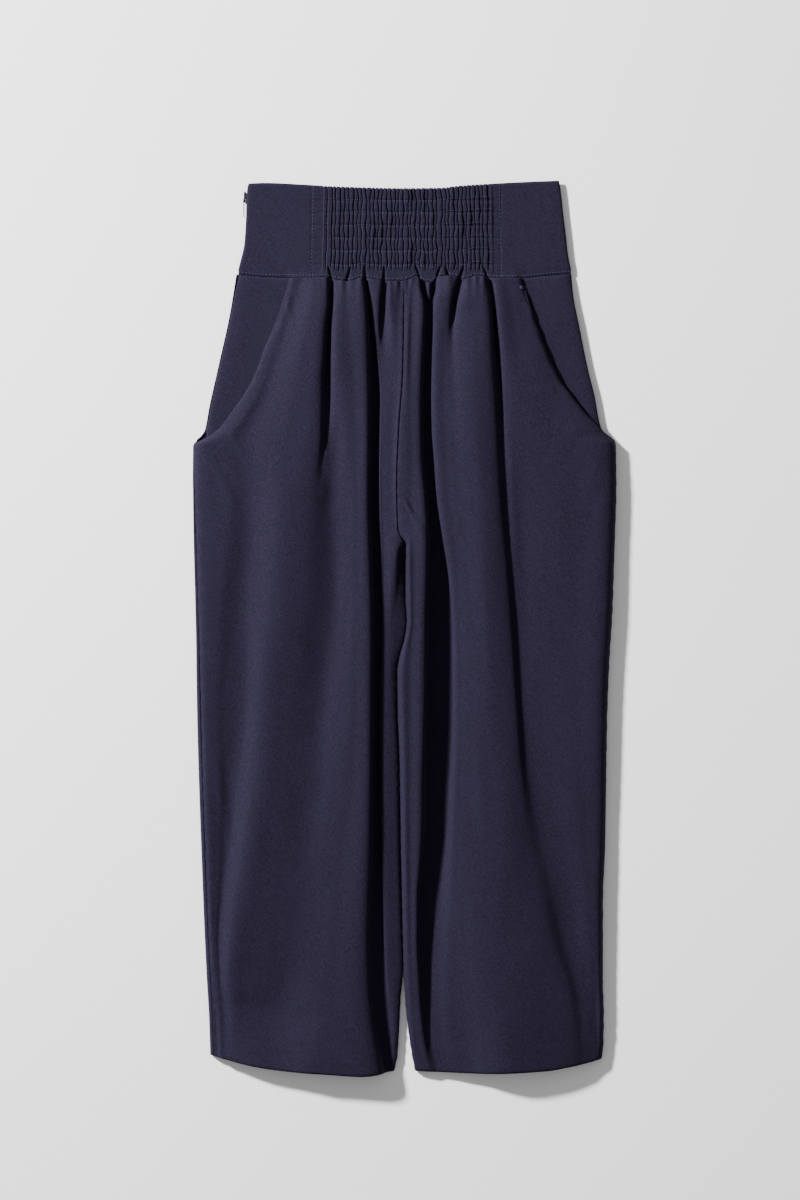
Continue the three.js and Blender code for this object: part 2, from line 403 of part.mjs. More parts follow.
// A closed wall between an outer grid and an inner one of the same size.
function wallGeometry(outer, inner) {
  const rows = outer.length;
  const columns = outer[0].length;
  const positions = [...outer.flat(), ...inner.flat()].flatMap((p) => [p.x, p.y, p.z]);
  const index = [];
  const quad = (a, b, c, d) => index.push(a, b, c, a, c, d);
  const out = (j, i) => j * columns + i;
  const into = (j, i) => rows * columns + out(j, i);
  for (let j = 0; j < rows - 1; j++) {
    for (let i = 0; i < columns - 1; i++) {
      quad(out(j, i), out(j + 1, i), out(j + 1, i + 1), out(j, i + 1));
      quad(into(j, i), into(j, i + 1), into(j + 1, i + 1), into(j + 1, i));
    }
    quad(out(j, 0), into(j, 0), into(j + 1, 0), out(j + 1, 0));
    quad(out(j, columns - 1), out(j + 1, columns - 1), into(j + 1, columns - 1), into(j, columns - 1));
  }
  for (let i = 0; i < columns - 1; i++) {
    quad(out(0, i), out(0, i + 1), into(0, i + 1), into(0, i));
    quad(out(rows - 1, i), into(rows - 1, i), into(rows - 1, i + 1), out(rows - 1, i + 1));
  }
  const geometry = new THREE.BufferGeometry();
  geometry.setAttribute("position", new THREE.Float32BufferAttribute(positions, 3));
  geometry.setIndex(index);
  geometry.computeVertexNormals();
  return geometry;
}

// A cloth panel: its outer grid, and an inner one a wall's thickness inside it.
function panelGeometry(grid, wallAt, lowest = 0) {
  const normals = normalsOf(grid);
  const inner = grid.map((row, j) =>
    row.map((p, i) => {
      const q = p.clone().addScaledVector(normals[j][i], -wallAt(p));
      q.z = Math.max(q.z, lowest);
      return q;
    }),
  );
  return wallGeometry(grid, inner);
}

const plainWall = () => CLOTH;
const wallWithHem = (hem) => (p) => (p.y < hem(p.x) + HEM_DEPTH ? HEM_WALL : CLOTH);

const filled = (z) => (z > FULL_FROM ? FULL_FROM + (z - FULL_FROM) * FULLNESS : z);

function legGrid(lines, rows, hem, lowest) {
  return rows.map((y) =>
    sectionAt(lines, y).map((p) => {
      p.z = Math.max(filled(p.z), lowest);
      return drape(p, y, hem);
    }),
  );
}

const navySuiting = (shade = 1) =>
  new THREE.MeshStandardMaterial({
    color: new THREE.Color(0.036 * shade, 0.033 * shade, 0.073 * shade),
    roughness: 0.86,
    metalness: 0,
    side: THREE.DoubleSide,
  });
const blackenedMetal = () =>
  new THREE.MeshStandardMaterial({ color: new THREE.Color(0.05, 0.05, 0.07), roughness: 0.4, metalness: 0.8 });

function namedMesh(name, geometry, material) {
  const mesh = new THREE.Mesh(geometry, material);
  mesh.name = name;
  return mesh;
}

function frontPanels() {
  const right = legGrid(RIGHT_FRONT_FOLDS, LEG_ROWS, rightHem, FLOOR_OF_FRONT);
  const left = legGrid(LEFT_FRONT_FOLDS, LEG_ROWS, leftHem, FLOOR_OF_FRONT);
  const under = CLOTH + SEAM_GAP; // the back's inner face and a gap
  return [
    namedMesh("right_front", panelGeometry(right, wallWithHem(rightHem), under), navySuiting()),
    namedMesh("left_front", panelGeometry(left, wallWithHem(leftHem), under), navySuiting()),
  ];
}

function backPanels() {
  const rightLines = backLines(rightSide, rightInner, rightBackInner, -1, RIGHT_ROLL);
  const leftLines = backLines(leftSide, leftInner, leftBackInner, 1, []);
  const right = legGrid(rightLines, LEG_ROWS, rightHem, 0).map((row) => [...row].reverse());
  const left = legGrid(leftLines, LEG_ROWS, leftHem, 0);
  return [
    namedMesh("right_back", panelGeometry(right, plainWall), navySuiting(0.92)),
    namedMesh("left_back", panelGeometry(left, plainWall), navySuiting(0.92)),
  ];
}

function pocketFacings() {
  const rows = [...LEG_ROWS.filter((y) => y > FACING_FOOT_Y), FACING_FOOT_Y];
  const right = legGrid(facingLines(rightSide, rightPocketEdge, -1), rows, rightHem, 0);
  const left = legGrid(facingLines(leftSide, leftPocketEdge, 1), rows, leftHem, 0)
    .map((row) => [...row].reverse());
  return [
    namedMesh("right_pocket_facing", panelGeometry(right, plainWall), navySuiting(0.96)),
    namedMesh("left_pocket_facing", panelGeometry(left, plainWall), navySuiting(0.96)),
  ];
}

// Waistband. A row of it is [gap to the next row of elastic, share], from the waist seam up.
const ELASTIC_Y = [364, 378, 390.5, 403, 416, 428];
const GATHERS = 40;
const COLUMNS_PER_GATHER = 3;
const SHIRR_RIGHT = [-82.6, -80.6]; // x of the shirring's edge at the waist seam and at the top
const SHIRR_LEFT = [88.4, 87.4];
const BAND_UNDER = 3.4; // inner face of the front band: room for the back band and the zip below it
const BAND_TOP = 5.2; // outer face of the plain sides
const GATHER_FLOOR = 4.9; // outer face in the valleys between gathers
const GATHER_HEIGHT = 2.4; // of a gather half way between two rows of elastic
const GATHER_AT_ELASTIC = 0.45; // share of that height left on a row of elastic

const mix = (pair, t) => pair[0] + (pair[1] - pair[0]) * t;

// Share of its full height that a gather has at y: least on the rows of elastic and at both ends.
function gatherSwell(y, x) {
  const stops = [waistSeam(x), ...ELASTIC_Y, bandTop(x)];
  const i = Math.max(0, stops.findIndex((stop, k) => y >= stop && y <= stops[k + 1] + 1e-6));
  const t = Math.min(1, Math.max(0, (y - stops[i]) / (stops[i + 1] - stops[i])));
  return GATHER_AT_ELASTIC + (1 - GATHER_AT_ELASTIC) * Math.sin(Math.PI * t);
}

// Columns of the front band, from the right side to the left: where each stands at the seam and at
// the top as a share of its third, and how high it is.
function bandColumns() {
  const SIDE = [0, 0.012, 0.05, 0.3, 0.65, 1];
  const columns = SIDE.map((share) => ({ third: 0, share, gather: null }));
  const count = GATHERS * COLUMNS_PER_GATHER;
  for (let i = 1; i < count; i++)
    columns.push({ third: 1, share: i / count, gather: i / COLUMNS_PER_GATHER });
  return [...columns, ...[...SIDE].reverse().map((share) => ({ third: 2, share: 1 - share, gather: null }))];
}

function bandPoint({ third, share, gather }, t) {
  const nominalY = WAIST_Y + t * (bandTop(0) - WAIST_Y);
  const edges = [bandRight(nominalY + t * 4), mix(SHIRR_RIGHT, t), mix(SHIRR_LEFT, t), bandLeft(nominalY + t * 4)];
  let x = edges[third] + share * (edges[third + 1] - edges[third]);
  if (gather !== null) {
    const hold = Math.sin(Math.PI * share) ** 0.5; // the edges of the shirring stay in line
    x += hold * 0.5 * Math.sin(1.9 * Math.round(gather) + 5.2 * t) * Math.sin(Math.PI * t);
  }
  const y = waistSeam(x) + SEAM_GAP / 2 + t * (bandTop(x) - waistSeam(x) - SEAM_GAP / 2);
  let z = BAND_TOP;
  if (gather === null) {
    const fromSide = third === 0 ? share : 1 - share;
    z -= 0.9 * Math.max(0, 1 - fromSide / 0.05) ** 2;
  } else {
    const crest = gather % 1 < 0.01 || gather % 1 > 0.99 ? 0 : 1;
    const uneven = 0.85 + 0.15 * Math.sin(2.4 * Math.floor(gather) + 1.3 * Math.floor(8 * t));
    z = GATHER_FLOOR + crest * uneven * GATHER_HEIGHT * gatherSwell(y, x);
  }
  return new THREE.Vector3(x, y, z);
}

// A closed body between a grid of points and one flat face under it at z = under.
function slabGeometry(grid, under) {
  const last = grid.length - 1;
  const columns = grid[0].length;
  const flat = (row) => row.map((p) => new THREE.Vector3(p.x, p.y, under));
  const points = [...grid.flat(), ...flat(grid[0]), ...flat(grid[last])];
  const index = [];
  const quad = (a, b, c, d) => index.push(a, b, c, a, c, d);
  const out = (j, i) => j * columns + i;
  const top = (i) => (last + 1) * columns + i;
  const foot = (i) => (last + 2) * columns + i;
  const end = columns - 1;
  for (let j = 0; j < last; j++) {
    for (let i = 0; i < end; i++) quad(out(j, i), out(j + 1, i), out(j + 1, i + 1), out(j, i + 1));
    index.push(foot(0), out(j + 1, 0), out(j, 0), foot(end), out(j, end), out(j + 1, end));
  }
  for (let i = 0; i < end; i++) {
    quad(top(i), top(i + 1), foot(i + 1), foot(i));
    quad(out(0, i), out(0, i + 1), top(i + 1), top(i));
    quad(out(last, i), foot(i), foot(i + 1), out(last, i + 1));
  }
  index.push(foot(0), out(0, 0), top(0), foot(end), top(end), out(0, end));
  const geometry = new THREE.BufferGeometry();
  geometry.setAttribute("position", new THREE.Float32BufferAttribute(points.flatMap((p) => [p.x, p.y, p.z]), 3));
  geometry.setIndex(index);
  geometry.computeVertexNormals();
  return geometry;
}

function waistbands() {
  const middle = WAIST_Y + SEAM_GAP;
  const height = bandTop(0) - middle;
  const levels = [middle, 357];
  ELASTIC_Y.forEach((y, k) => levels.push(y, k < ELASTIC_Y.length - 1 ? (y + ELASTIC_Y[k + 1]) / 2 : y + 5));
  levels.push(bandTop(0));
  const shares = levels.map((y) => (y - middle) / height).reverse();
  const front = shares.map((t) => bandColumns().map((column) => bandPoint(column, t)));
  return [
    namedMesh("waistband_front", slabGeometry(front, BAND_UNDER), navySuiting()),
    namedMesh("waistband_back", panelGeometry(backBandGrid(shares), () => BAND_WALL), navySuiting(0.92)),
  ];
}

// The back waistband lies flat, and curls up on the left to meet the front. On the right it stays
// flat, for the zip.
function backBandGrid(shares) {
  const coarse = shares.filter((_, k) => k % 2 === 0);
  return coarse.map((t) => {
    const y = WAIST_Y + t * (bandTop(0) - WAIST_Y);
    const right = bandRight(y + t * 4);
    const left = bandLeft(y + t * 4);
    const high = BAND_UNDER - SEAM_GAP;
    const row = [
      ...CURL.map(([inset, , share]) => [left - inset, share * high]),
      ...[120, 80, 40, 0, -40, -80, -120].map((x) => [x, 0]),
      [right + 6, 0], [right, 0],
    ];
    return row.map(([x, z]) => {
      const low = waistSeam(x) + SEAM_GAP / 2;
      return new THREE.Vector3(x, low + t * (bandTop(x) - 2 - low), z);
    });
  });
}

// Concealed zip in the right side seam of the waistband. Its face looks out to the side.
const ZIP_TOP = 441;
const ZIP_FOOT = 408;
const ZIP_PITCH = 2;
const ZIP_LOW = 1.85;
const ZIP_THICK = 1.2;
const COIL_OUT = 0.35; // how far the coil stands out of the seam
function zipTape() {
  const outline = new THREE.Shape();
  const count = Math.floor((ZIP_TOP - ZIP_FOOT) / ZIP_PITCH);
  outline.moveTo(bandRight(ZIP_FOOT) + 9, ZIP_FOOT);
  outline.lineTo(bandRight(ZIP_TOP) + 9, ZIP_TOP);
  for (let i = count; i > 0; i--) {
    const y = ZIP_FOOT + i * ZIP_PITCH;
    const x = bandRight(y);
    outline.lineTo(x + 0.4, y);
    outline.lineTo(x - COIL_OUT, y - 0.35);
    outline.lineTo(x - COIL_OUT, y - 1.05);
    outline.lineTo(x + 0.4, y - 1.4);
  }
  const geometry = new THREE.ExtrudeGeometry(outline, { depth: ZIP_THICK, bevelEnabled: false });
  return geometry.translate(0, 0, ZIP_LOW);
}

const PIN = { x: -161, y: 427.2, radius: 0.35 }; // upright pin that the pull turns on
const EYE_BORE = 0.6;
const EYE_RADIUS = 1;
const SLIDER = { left: -161, right: -158.9, foot: 429.4, top: 437, low: 0.8, high: 4.4 };
const CHEEK = 0.45; // thickness of the two plates that hold the pin
const PULL = { foot: 411.6, thick: 0.9, low: 1.5, high: 3.7 };

function upright(shape, low, high) {
  return new THREE.ExtrudeGeometry(shape, { depth: high - low, bevelEnabled: false, curveSegments: 8 })
    .translate(0, 0, low);
}

function outlineOf(points) {
  const shape = new THREE.Shape();
  points.forEach(([x, y], i) => (i ? shape.lineTo(x, y) : shape.moveTo(x, y)));
  return shape;
}

const { Manifold, Mesh: SolidMesh } = kernel;
function solidFrom(geometry) {
  const bare = new THREE.BufferGeometry().setAttribute("position", geometry.getAttribute("position"));
  const merged = mergeVertices(bare, 1e-4);
  return new Manifold(new SolidMesh({
    numProp: 3,
    vertProperties: merged.attributes.position.array,
    triVerts: new Uint32Array(merged.index.array),
  }));
}
function geometryFrom(solid) {
  const made = solid.getMesh();
  const geometry = new THREE.BufferGeometry();
  geometry.setAttribute("position", new THREE.Float32BufferAttribute(made.vertProperties, 3));
  geometry.setIndex([...made.triVerts]);
  const flat = geometry.toNonIndexed();
  flat.computeVertexNormals();
  return flat;
}

function zipSlider() {
  const { left, right, foot, top, low, high } = SLIDER;
  const body = outlineOf([
    [right, foot + 0.5], [right, top - 0.7], [right - 0.4, top], [left + 0.5, top], [left, top - 1.4],
    [left, foot + 0.8], [left + 0.4, foot], [right - 0.4, foot],
  ].reverse());
  const cheek = outlineOf([
    [right - 0.5, foot + 1], [left, foot + 1], [PIN.x - 0.75, foot - 0.4], [PIN.x - 0.75, PIN.y - 0.5],
    [PIN.x - 0.4, PIN.y - 0.9], [PIN.x + 0.4, PIN.y - 0.9], [PIN.x + 0.75, PIN.y - 0.5],
  ]);
  const pin = new THREE.Shape().absarc(PIN.x, PIN.y, PIN.radius, 0, 2 * Math.PI);
  return geometryFrom(Manifold.union([
    solidFrom(upright(body, low, high)),
    solidFrom(upright(cheek, low, low + CHEEK)),
    solidFrom(upright(cheek, high - CHEEK, high)),
    solidFrom(upright(pin, low, high)),
  ]));
}

function zipPull() {
  const eye = new THREE.Shape().absarc(PIN.x, PIN.y, EYE_RADIUS, 0, 2 * Math.PI);
  eye.holes.push(new THREE.Path().absarc(PIN.x, PIN.y, EYE_BORE, 0, 2 * Math.PI, true));
  // the tab hangs from the eye, beside the seam
  const half = PULL.thick / 2;
  const neck = PIN.y - 0.8;
  const tab = outlineOf([
    [PIN.x - half, PULL.foot], [PIN.x + half, PULL.foot], [PIN.x + half, neck], [PIN.x - half, neck],
  ]);
  return geometryFrom(Manifold.union([
    solidFrom(upright(eye, PULL.low, PULL.high)),
    solidFrom(upright(tab, PULL.low, PULL.high)),
  ]));
}

const group = new THREE.Group();
group.add(
  ...waistbands(),
  ...frontPanels(),
  ...backPanels(),
  ...pocketFacings(),
  namedMesh("zip_tape", zipTape(), navySuiting(0.7)),
  namedMesh("zip_slider", zipSlider(), blackenedMetal()),
  namedMesh("zip_pull", zipPull(), blackenedMetal()),
);

export default group;
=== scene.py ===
"""Wide cropped trousers in matt navy suiting, laid flat on a table with the front up.

Lengths in the tables are millimetres, in the part's own frame: +X to the wearer's left, which is the
viewer's right, +Y from the hems to the waist and +Z up off the table. "right" and "left" are the
wearer's. Each panel is lofted through lines that run down it, one for each crest, lip and floor of
its folds, and then gets the fine creases, puckers and stitches of the real cloth.
"""
import math

import bpy
import numpy as np
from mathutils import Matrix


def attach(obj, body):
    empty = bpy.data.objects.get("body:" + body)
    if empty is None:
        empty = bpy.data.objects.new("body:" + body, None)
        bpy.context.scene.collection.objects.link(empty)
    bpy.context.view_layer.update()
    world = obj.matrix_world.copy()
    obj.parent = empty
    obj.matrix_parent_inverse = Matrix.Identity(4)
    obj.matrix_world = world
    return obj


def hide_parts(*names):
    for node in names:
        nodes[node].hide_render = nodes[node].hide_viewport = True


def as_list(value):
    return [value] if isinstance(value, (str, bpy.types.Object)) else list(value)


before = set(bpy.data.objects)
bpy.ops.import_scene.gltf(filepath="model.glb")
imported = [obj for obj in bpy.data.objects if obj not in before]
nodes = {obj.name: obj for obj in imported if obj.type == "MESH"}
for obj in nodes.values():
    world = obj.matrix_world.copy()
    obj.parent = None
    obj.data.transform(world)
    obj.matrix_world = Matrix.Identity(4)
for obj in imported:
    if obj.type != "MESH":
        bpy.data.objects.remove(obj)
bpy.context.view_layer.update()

MM = 0.001
CLOTH = 1.2  # wall of the crepe suiting
HEM_WALL = 2.2  # wall where the hem is turned up
HEM_DEPTH = 28
SEAM_GAP = 0.3
WAIST_Y = 350
WAIST_REACH = 60  # how far below the waist seam its waves are felt
HEM_Y = -444
HEM_REACH = 120  # how far above the hem its curve is felt
CROTCH_Y = 68
SEAM_HEIGHT = 3
SEAM_TOP = SEAM_HEIGHT + SEAM_GAP
FULL_FROM = 8  # heights in the tables above this are stretched
FULLNESS = 1.9  # by this factor, up to the height that the shadows show
FLOOR_OF_FRONT = 2 * CLOTH + SEAM_GAP


# Curves and lines


def smooth(points):
    """A smooth function through rows of [at, value], without overshoot between them."""
    rows = np.array(sorted(points), float)
    t, v = rows[:, 0], rows[:, 1]
    rise = np.diff(v) / np.diff(t)
    slope = np.empty(len(t))
    slope[0], slope[-1] = rise[0], rise[-1]
    before, after = rise[:-1], rise[1:]
    same_way = before * after > 0
    slope[1:-1] = np.where(same_way, 2 * before * after / np.where(same_way, before + after, 1), 0)

    def value(at):
        at = np.asarray(at, float)
        i = np.clip(np.searchsorted(t, at, side="right") - 1, 0, len(t) - 2)
        span = t[i + 1] - t[i]
        s = np.clip((at - t[i]) / span, 0, 1)
        return (
            (2 * s**3 - 3 * s**2 + 1) * v[i]
            + (s**3 - 2 * s**2 + s) * span * slope[i]
            + (3 * s**2 - 2 * s**3) * v[i + 1]
            + (s**3 - s**2) * span * slope[i + 1]
        )

    return value


def line(steps, *rows):
    """A line down a panel through rows of [y, x, z], and the columns from it to the next line."""
    x = smooth([(row[0], row[1]) for row in rows])
    z = smooth([(row[0], row[2]) for row in rows])
    return steps, lambda y: np.stack([x(y), z(y)], -1)


def beside(steps, edge, dx, *rows):
    """A line at a distance beside an edge, with heights of its own as rows of [y, z]."""
    z = smooth(rows)
    return steps, lambda y: np.stack([edge[1](y)[..., 0] + dx, z(y)], -1)


def turn(steps, edge, direction, *rows):
    """A line just inside an edge, where the cloth turns down to the seam. Rows of [y, in, up]."""
    inset = smooth([(row[0], row[1]) for row in rows])
    up = smooth([(row[0], row[2]) for row in rows])
    return steps, lambda y: edge[1](y) + np.stack([direction * inset(y), up(y)], -1)


def at_seam(*rows):
    """Rows of [y, x] as rows of [y, x, z] at the height of the seams between front and back."""
    return [[*row, SEAM_TOP] for row in rows]


# Left side seam below the pocket, where the front and the back share it.
LEFT_SIDE_BELOW = at_seam(
  [141, 212], [93, 210.8], [17, 207.8], [-41, 204.6], [-92, 202.8], [-221, 200.8], [-272, 198.6],
  [-355, 198.6], [-388, 199.4], [-431, 198.6], [-444, 197.4])
right_side = line(1, *at_seam(
  [355, -166.5], [315, -173.6], [261, -185.6], [221, -194.5], [198, -199], [191, -203.5], [183, -212],
  [155, -212], [92, -211.2], [12, -209.2], [-72, -208.2], [-272, -201.8], [-348, -198.4], [-394, -196],
  [-444, -194.6]))
left_side = line(1, *at_seam(
  [355, 166.5], [333, 168.7], [299, 175.6], [261, 183.3], [233, 190.2], [200, 197], [185, 211.6]),
  *LEFT_SIDE_BELOW)
right_inner = line(0,
  [355, -0.2, 8], [256, -1.8, 10.6], [200, -5.7, 10.8], [144, -7.7, 10.8], [99, -6.8, 10.5],
  [91, -3.6, 9.8], [84, 0.4, 8], [78, 0.5, 5.5],
  *at_seam([68, 0.6], [32, 0.6], [6, 1.8], [-12, -0.8], [-28, -5.2], [-44, -7.6], [-82, -7.2],
    [-130, -5.4], [-232, -3.8], [-340, -1.4], [-369, -3.9], [-409, -5.9], [-429, -7.4], [-444, -10.6]))
left_inner = line(1,
  [355, 0.2, 8], [256, -1.4, 10.6], [200, -5.3, 10.8], [144, -7.3, 10.8], [99, -6.4, 10.5],
  [91, -3.2, 9.8], [84, 0.8, 8],
  *at_seam([68, 1], [32, 1], [6, 2.2], [-12, -0.4], [-28, -4.8], [-44, -7.2], [-82, -6.8], [-130, -5],
    [-232, -3.4], [-340, -1], [-379, 1.2], [-405, 4], [-425, 7], [-444, 10.6]))
# How a front turns down to the inner seam, for both legs.
INNER_TURN = ([355, 1.2, 0.3], [99, 1.2, 0.3], [84, 0.8, 0.9], [68, 0.1, 1.3], [-444, 0.1, 1.3])
right_pocket_edge = line(1,
  [355, -114, 4.8], [341, -117.5, 6.4], [305, -129.6, 7.6], [278, -141, 8], [256, -149, 8.2],
  [236, -159, 8.4], [216.5, -173, 8.4], [201, -184.5, 8], [191, -197, 7.2], [183, -211.4, 5.4],
  [133, -210, 7], [8, -206, 7.9], [-72, -204.2, 8], [-272, -197.7, 8], [-394, -191.9, 7.6], [-444, -190.4, 7])
RIGHT_FRONT_FOLDS = [
  right_pocket_edge,
  beside(2, right_pocket_edge, 3.2, [355, 7.4], [236, 9.2], [183, 8.6], [8, 9], [-272, 8.9], [-444, 7.6]),
  # outer ridge
  line(2, [355, -108, 7.7], [278, -132, 9.3], [236, -147, 9.9], [205, -166, 10.2], [183, -181, 10],
    [128, -178, 10.2], [48, -184, 9.7], [8, -187, 9.4], [-72, -190, 8.9], [-152, -186, 8.6],
    [-232, -186.5, 8.6], [-312, -189, 8.6], [-352, -187.5, 8.6], [-394, -185.5, 8.8], [-444, -184.6, 9]),
  # outer trough
  line(3, [355, -101, 7.8], [278, -124, 9.4], [236, -138, 9.8], [183, -157, 9.6], [128, -155, 9.3],
    [88, -156, 8.8], [48, -160, 8.3], [8, -161.5, 7.9], [-32, -162.5, 7.3], [-72, -165.5, 6.9],
    [-112, -167.5, 6.9], [-152, -172.5, 7.2], [-192, -174.5, 7.6], [-232, -178, 8], [-272, -182.5, 8.2],
    [-312, -185.5, 8.3], [-352, -184, 8.5], [-394, -180, 9], [-444, -179, 9.6]),
  # outer crest
  line(2, [355, -93, 8.4], [338, -90, 10.4], [308, -94, 11.8], [278, -100, 12.4], [248, -104, 12.8],
    [218, -110, 13], [188, -117, 13.1], [128, -124, 13.2], [88, -127, 13], [48, -131, 12.8],
    [8, -135, 12.4], [-32, -139, 11.8], [-72, -143, 11.3], [-112, -146, 11.3], [-152, -150, 11.6],
    [-192, -156, 11.8], [-232, -162, 12], [-272, -168, 12.1], [-312, -173, 11.9], [-352, -176, 10.9],
    [-382, -173, 10.4], [-444, -170, 10.6]),
  # fold one: lip, floor, lip
  line(2, [355, -76, 8.4], [328, -75.6, 10], [298, -78.6, 10.8], [270, -80.4, 11.3], [228, -84.4, 12],
    [188, -86.4, 12.6], [158, -89.6, 12.7], [128, -94, 12.8], [88, -98, 12.6], [48, -101, 12.3],
    [8, -105, 11.9], [-32, -111, 11.3], [-72, -115.6, 10.9], [-112, -119, 10.9], [-152, -123, 11.3],
    [-192, -129, 11.4], [-232, -135, 11.7], [-272, -140, 11.8], [-312, -146.6, 11.6], [-352, -153, 10.9],
    [-382, -158, 10.4], [-444, -152, 11.8]),
  line(1, [355, -72, 5], [328, -73.2, 3.6], [298, -75, 4], [270, -76, 5.4], [228, -77.6, 7],
    [188, -80, 8.8], [158, -80.6, 9.9], [128, -74, 10], [48, -69.6, 9.5], [8, -71.6, 9], [-32, -77, 8.7],
    [-72, -81.6, 8.6], [-112, -85, 8.9], [-152, -86.6, 9.6], [-192, -94, 9.8], [-232, -99, 10.2],
    [-272, -104, 10.4], [-312, -110, 10.4], [-352, -118, 10], [-382, -126, 9.6], [-412, -124, 11.2],
    [-444, -118, 13.2]),
  line(2, [355, -68.4, 8], [328, -70.2, 9.8], [298, -71.8, 10.8], [270, -71.8, 11.2], [228, -70, 10.9],
    [188, -69, 10.9], [158, -66, 11], [128, -61, 10.9], [48, -60, 10.7], [8, -60, 10.4], [-72, -68, 10.1],
    [-152, -72, 10.8], [-232, -82, 11.3], [-312, -84, 11.8], [-352, -90, 11.8], [-382, -100, 11.6],
    [-412, -98, 13], [-444, -98, 14.6]),
  # middle crest
  line(2, [355, -56, 8.8], [328, -56, 11], [283, -54, 11.8], [228, -50, 11.9], [128, -49, 12],
    [-72, -50, 12], [-152, -54, 12], [-232, -64, 12.2], [-312, -70, 12.4], [-352, -74, 12.5],
    [-444, -86, 14.4]),
  # fold two, the deep one: lip, floor, floor, lip
  line(2, [355, -42.4, 8.2], [328, -38.6, 10.6], [283, -36.4, 11.2], [228, -35.6, 11.5], [128, -35.8, 11.7],
    [58, -33.6, 11.8], [0, -31.8, 11.8], [-72, -32.4, 11.8], [-152, -32.8, 11.8], [-232, -34, 11.8],
    [-312, -35.8, 12], [-352, -35, 12], [-389, -32, 12], [-444, -22.6, 12]),
  line(1, [355, -40.2, 5], [328, -37, 3.6], [283, -33.4, 3], [228, -31.6, 3], [128, -32, 3],
    [58, -29.8, 3], [0, -28.6, 3], [-72, -29.2, 3], [-152, -29.8, 3], [-232, -30.6, 3.6], [-312, -31.8, 4.8],
    [-352, -30.6, 5.4], [-389, -27.4, 6], [-444, -18.2, 6]),
  line(1, [355, -38.8, 5], [328, -36.2, 3.6], [298, -33, 3], [270, -29.2, 3], [228, -25.8, 3],
    [198, -27, 3], [128, -27, 3], [58, -24.8, 3], [0, -24.4, 3], [-72, -26, 3], [-112, -27, 3],
    [-192, -25, 3.2], [-272, -23, 4.2], [-312, -21.8, 5], [-352, -19, 5.6], [-389, -15.8, 5.4],
    [-444, -14.8, 4.6]),
  line(1, [355, -36.4, 7.4], [328, -34.6, 7.8], [298, -31.4, 8], [270, -27.6, 8.4], [228, -24.2, 8.6],
    [128, -25.4, 8.6], [58, -23.2, 8], [0, -22.8, 7.6], [-72, -24.4, 7.5], [-192, -23.4, 7.5],
    [-312, -20.2, 7.2], [-352, -17.4, 6.8], [-389, -14.2, 6], [-444, -13.6, 5]),
  # short pleat beside the centre: lip and floor
  line(1, [355, -23, 8.2], [328, -24.8, 9], [298, -26, 9.2], [283, -24.8, 8.8], [228, -22, 9],
    [128, -22, 9], [58, -20.5, 8.3], [0, -20.5, 8.1], [-72, -21.5, 8], [-192, -20.8, 8],
    [-312, -17.6, 7.8], [-352, -15.4, 7.2], [-389, -12.8, 6.3], [-444, -12.9, 5.2]),
  line(1, [355, -19, 5], [328, -21.2, 5], [298, -22.4, 7.2], [276, -20.5, 8.9], [228, -17.6, 9.4],
    [128, -18, 9.4], [58, -17, 8.8], [0, -17, 8.2], [-72, -18, 8], [-192, -17, 8], [-312, -14.4, 7.7],
    [-389, -11.6, 6.5], [-444, -12.4, 5.4]),
  # inner crest and inner shoulder
  line(2, [355, -14.4, 8.4], [328, -15.6, 9.6], [283, -12.5, 9.8], [228, -12, 9.8], [128, -12.5, 9.9],
    [58, -13.6, 9.4], [0, -13.6, 8.1], [-44, -14.6, 7.8], [-72, -14, 7.6], [-192, -13, 7.6],
    [-312, -10.6, 7.3], [-389, -10, 6.6], [-444, -11.8, 5.5]),
  line(2, [355, -6, 8.6], [256, -7, 10.3], [144, -10.2, 10.5], [99, -8.6, 10.4], [84, -6.5, 10],
    [66, -7.5, 9.4], [48, -8, 8.8], [8, -8.4, 7.4], [-28, -10.2, 7], [-44, -11.4, 6.8], [-72, -10.6, 6.6],
    [-130, -8.6, 6.6], [-232, -6.8, 6.6], [-340, -4.4, 6.2], [-369, -6, 6], [-409, -8, 5.8],
    [-444, -11.2, 5.4]),
  turn(1, right_inner, -1, *INNER_TURN),
  right_inner,
]

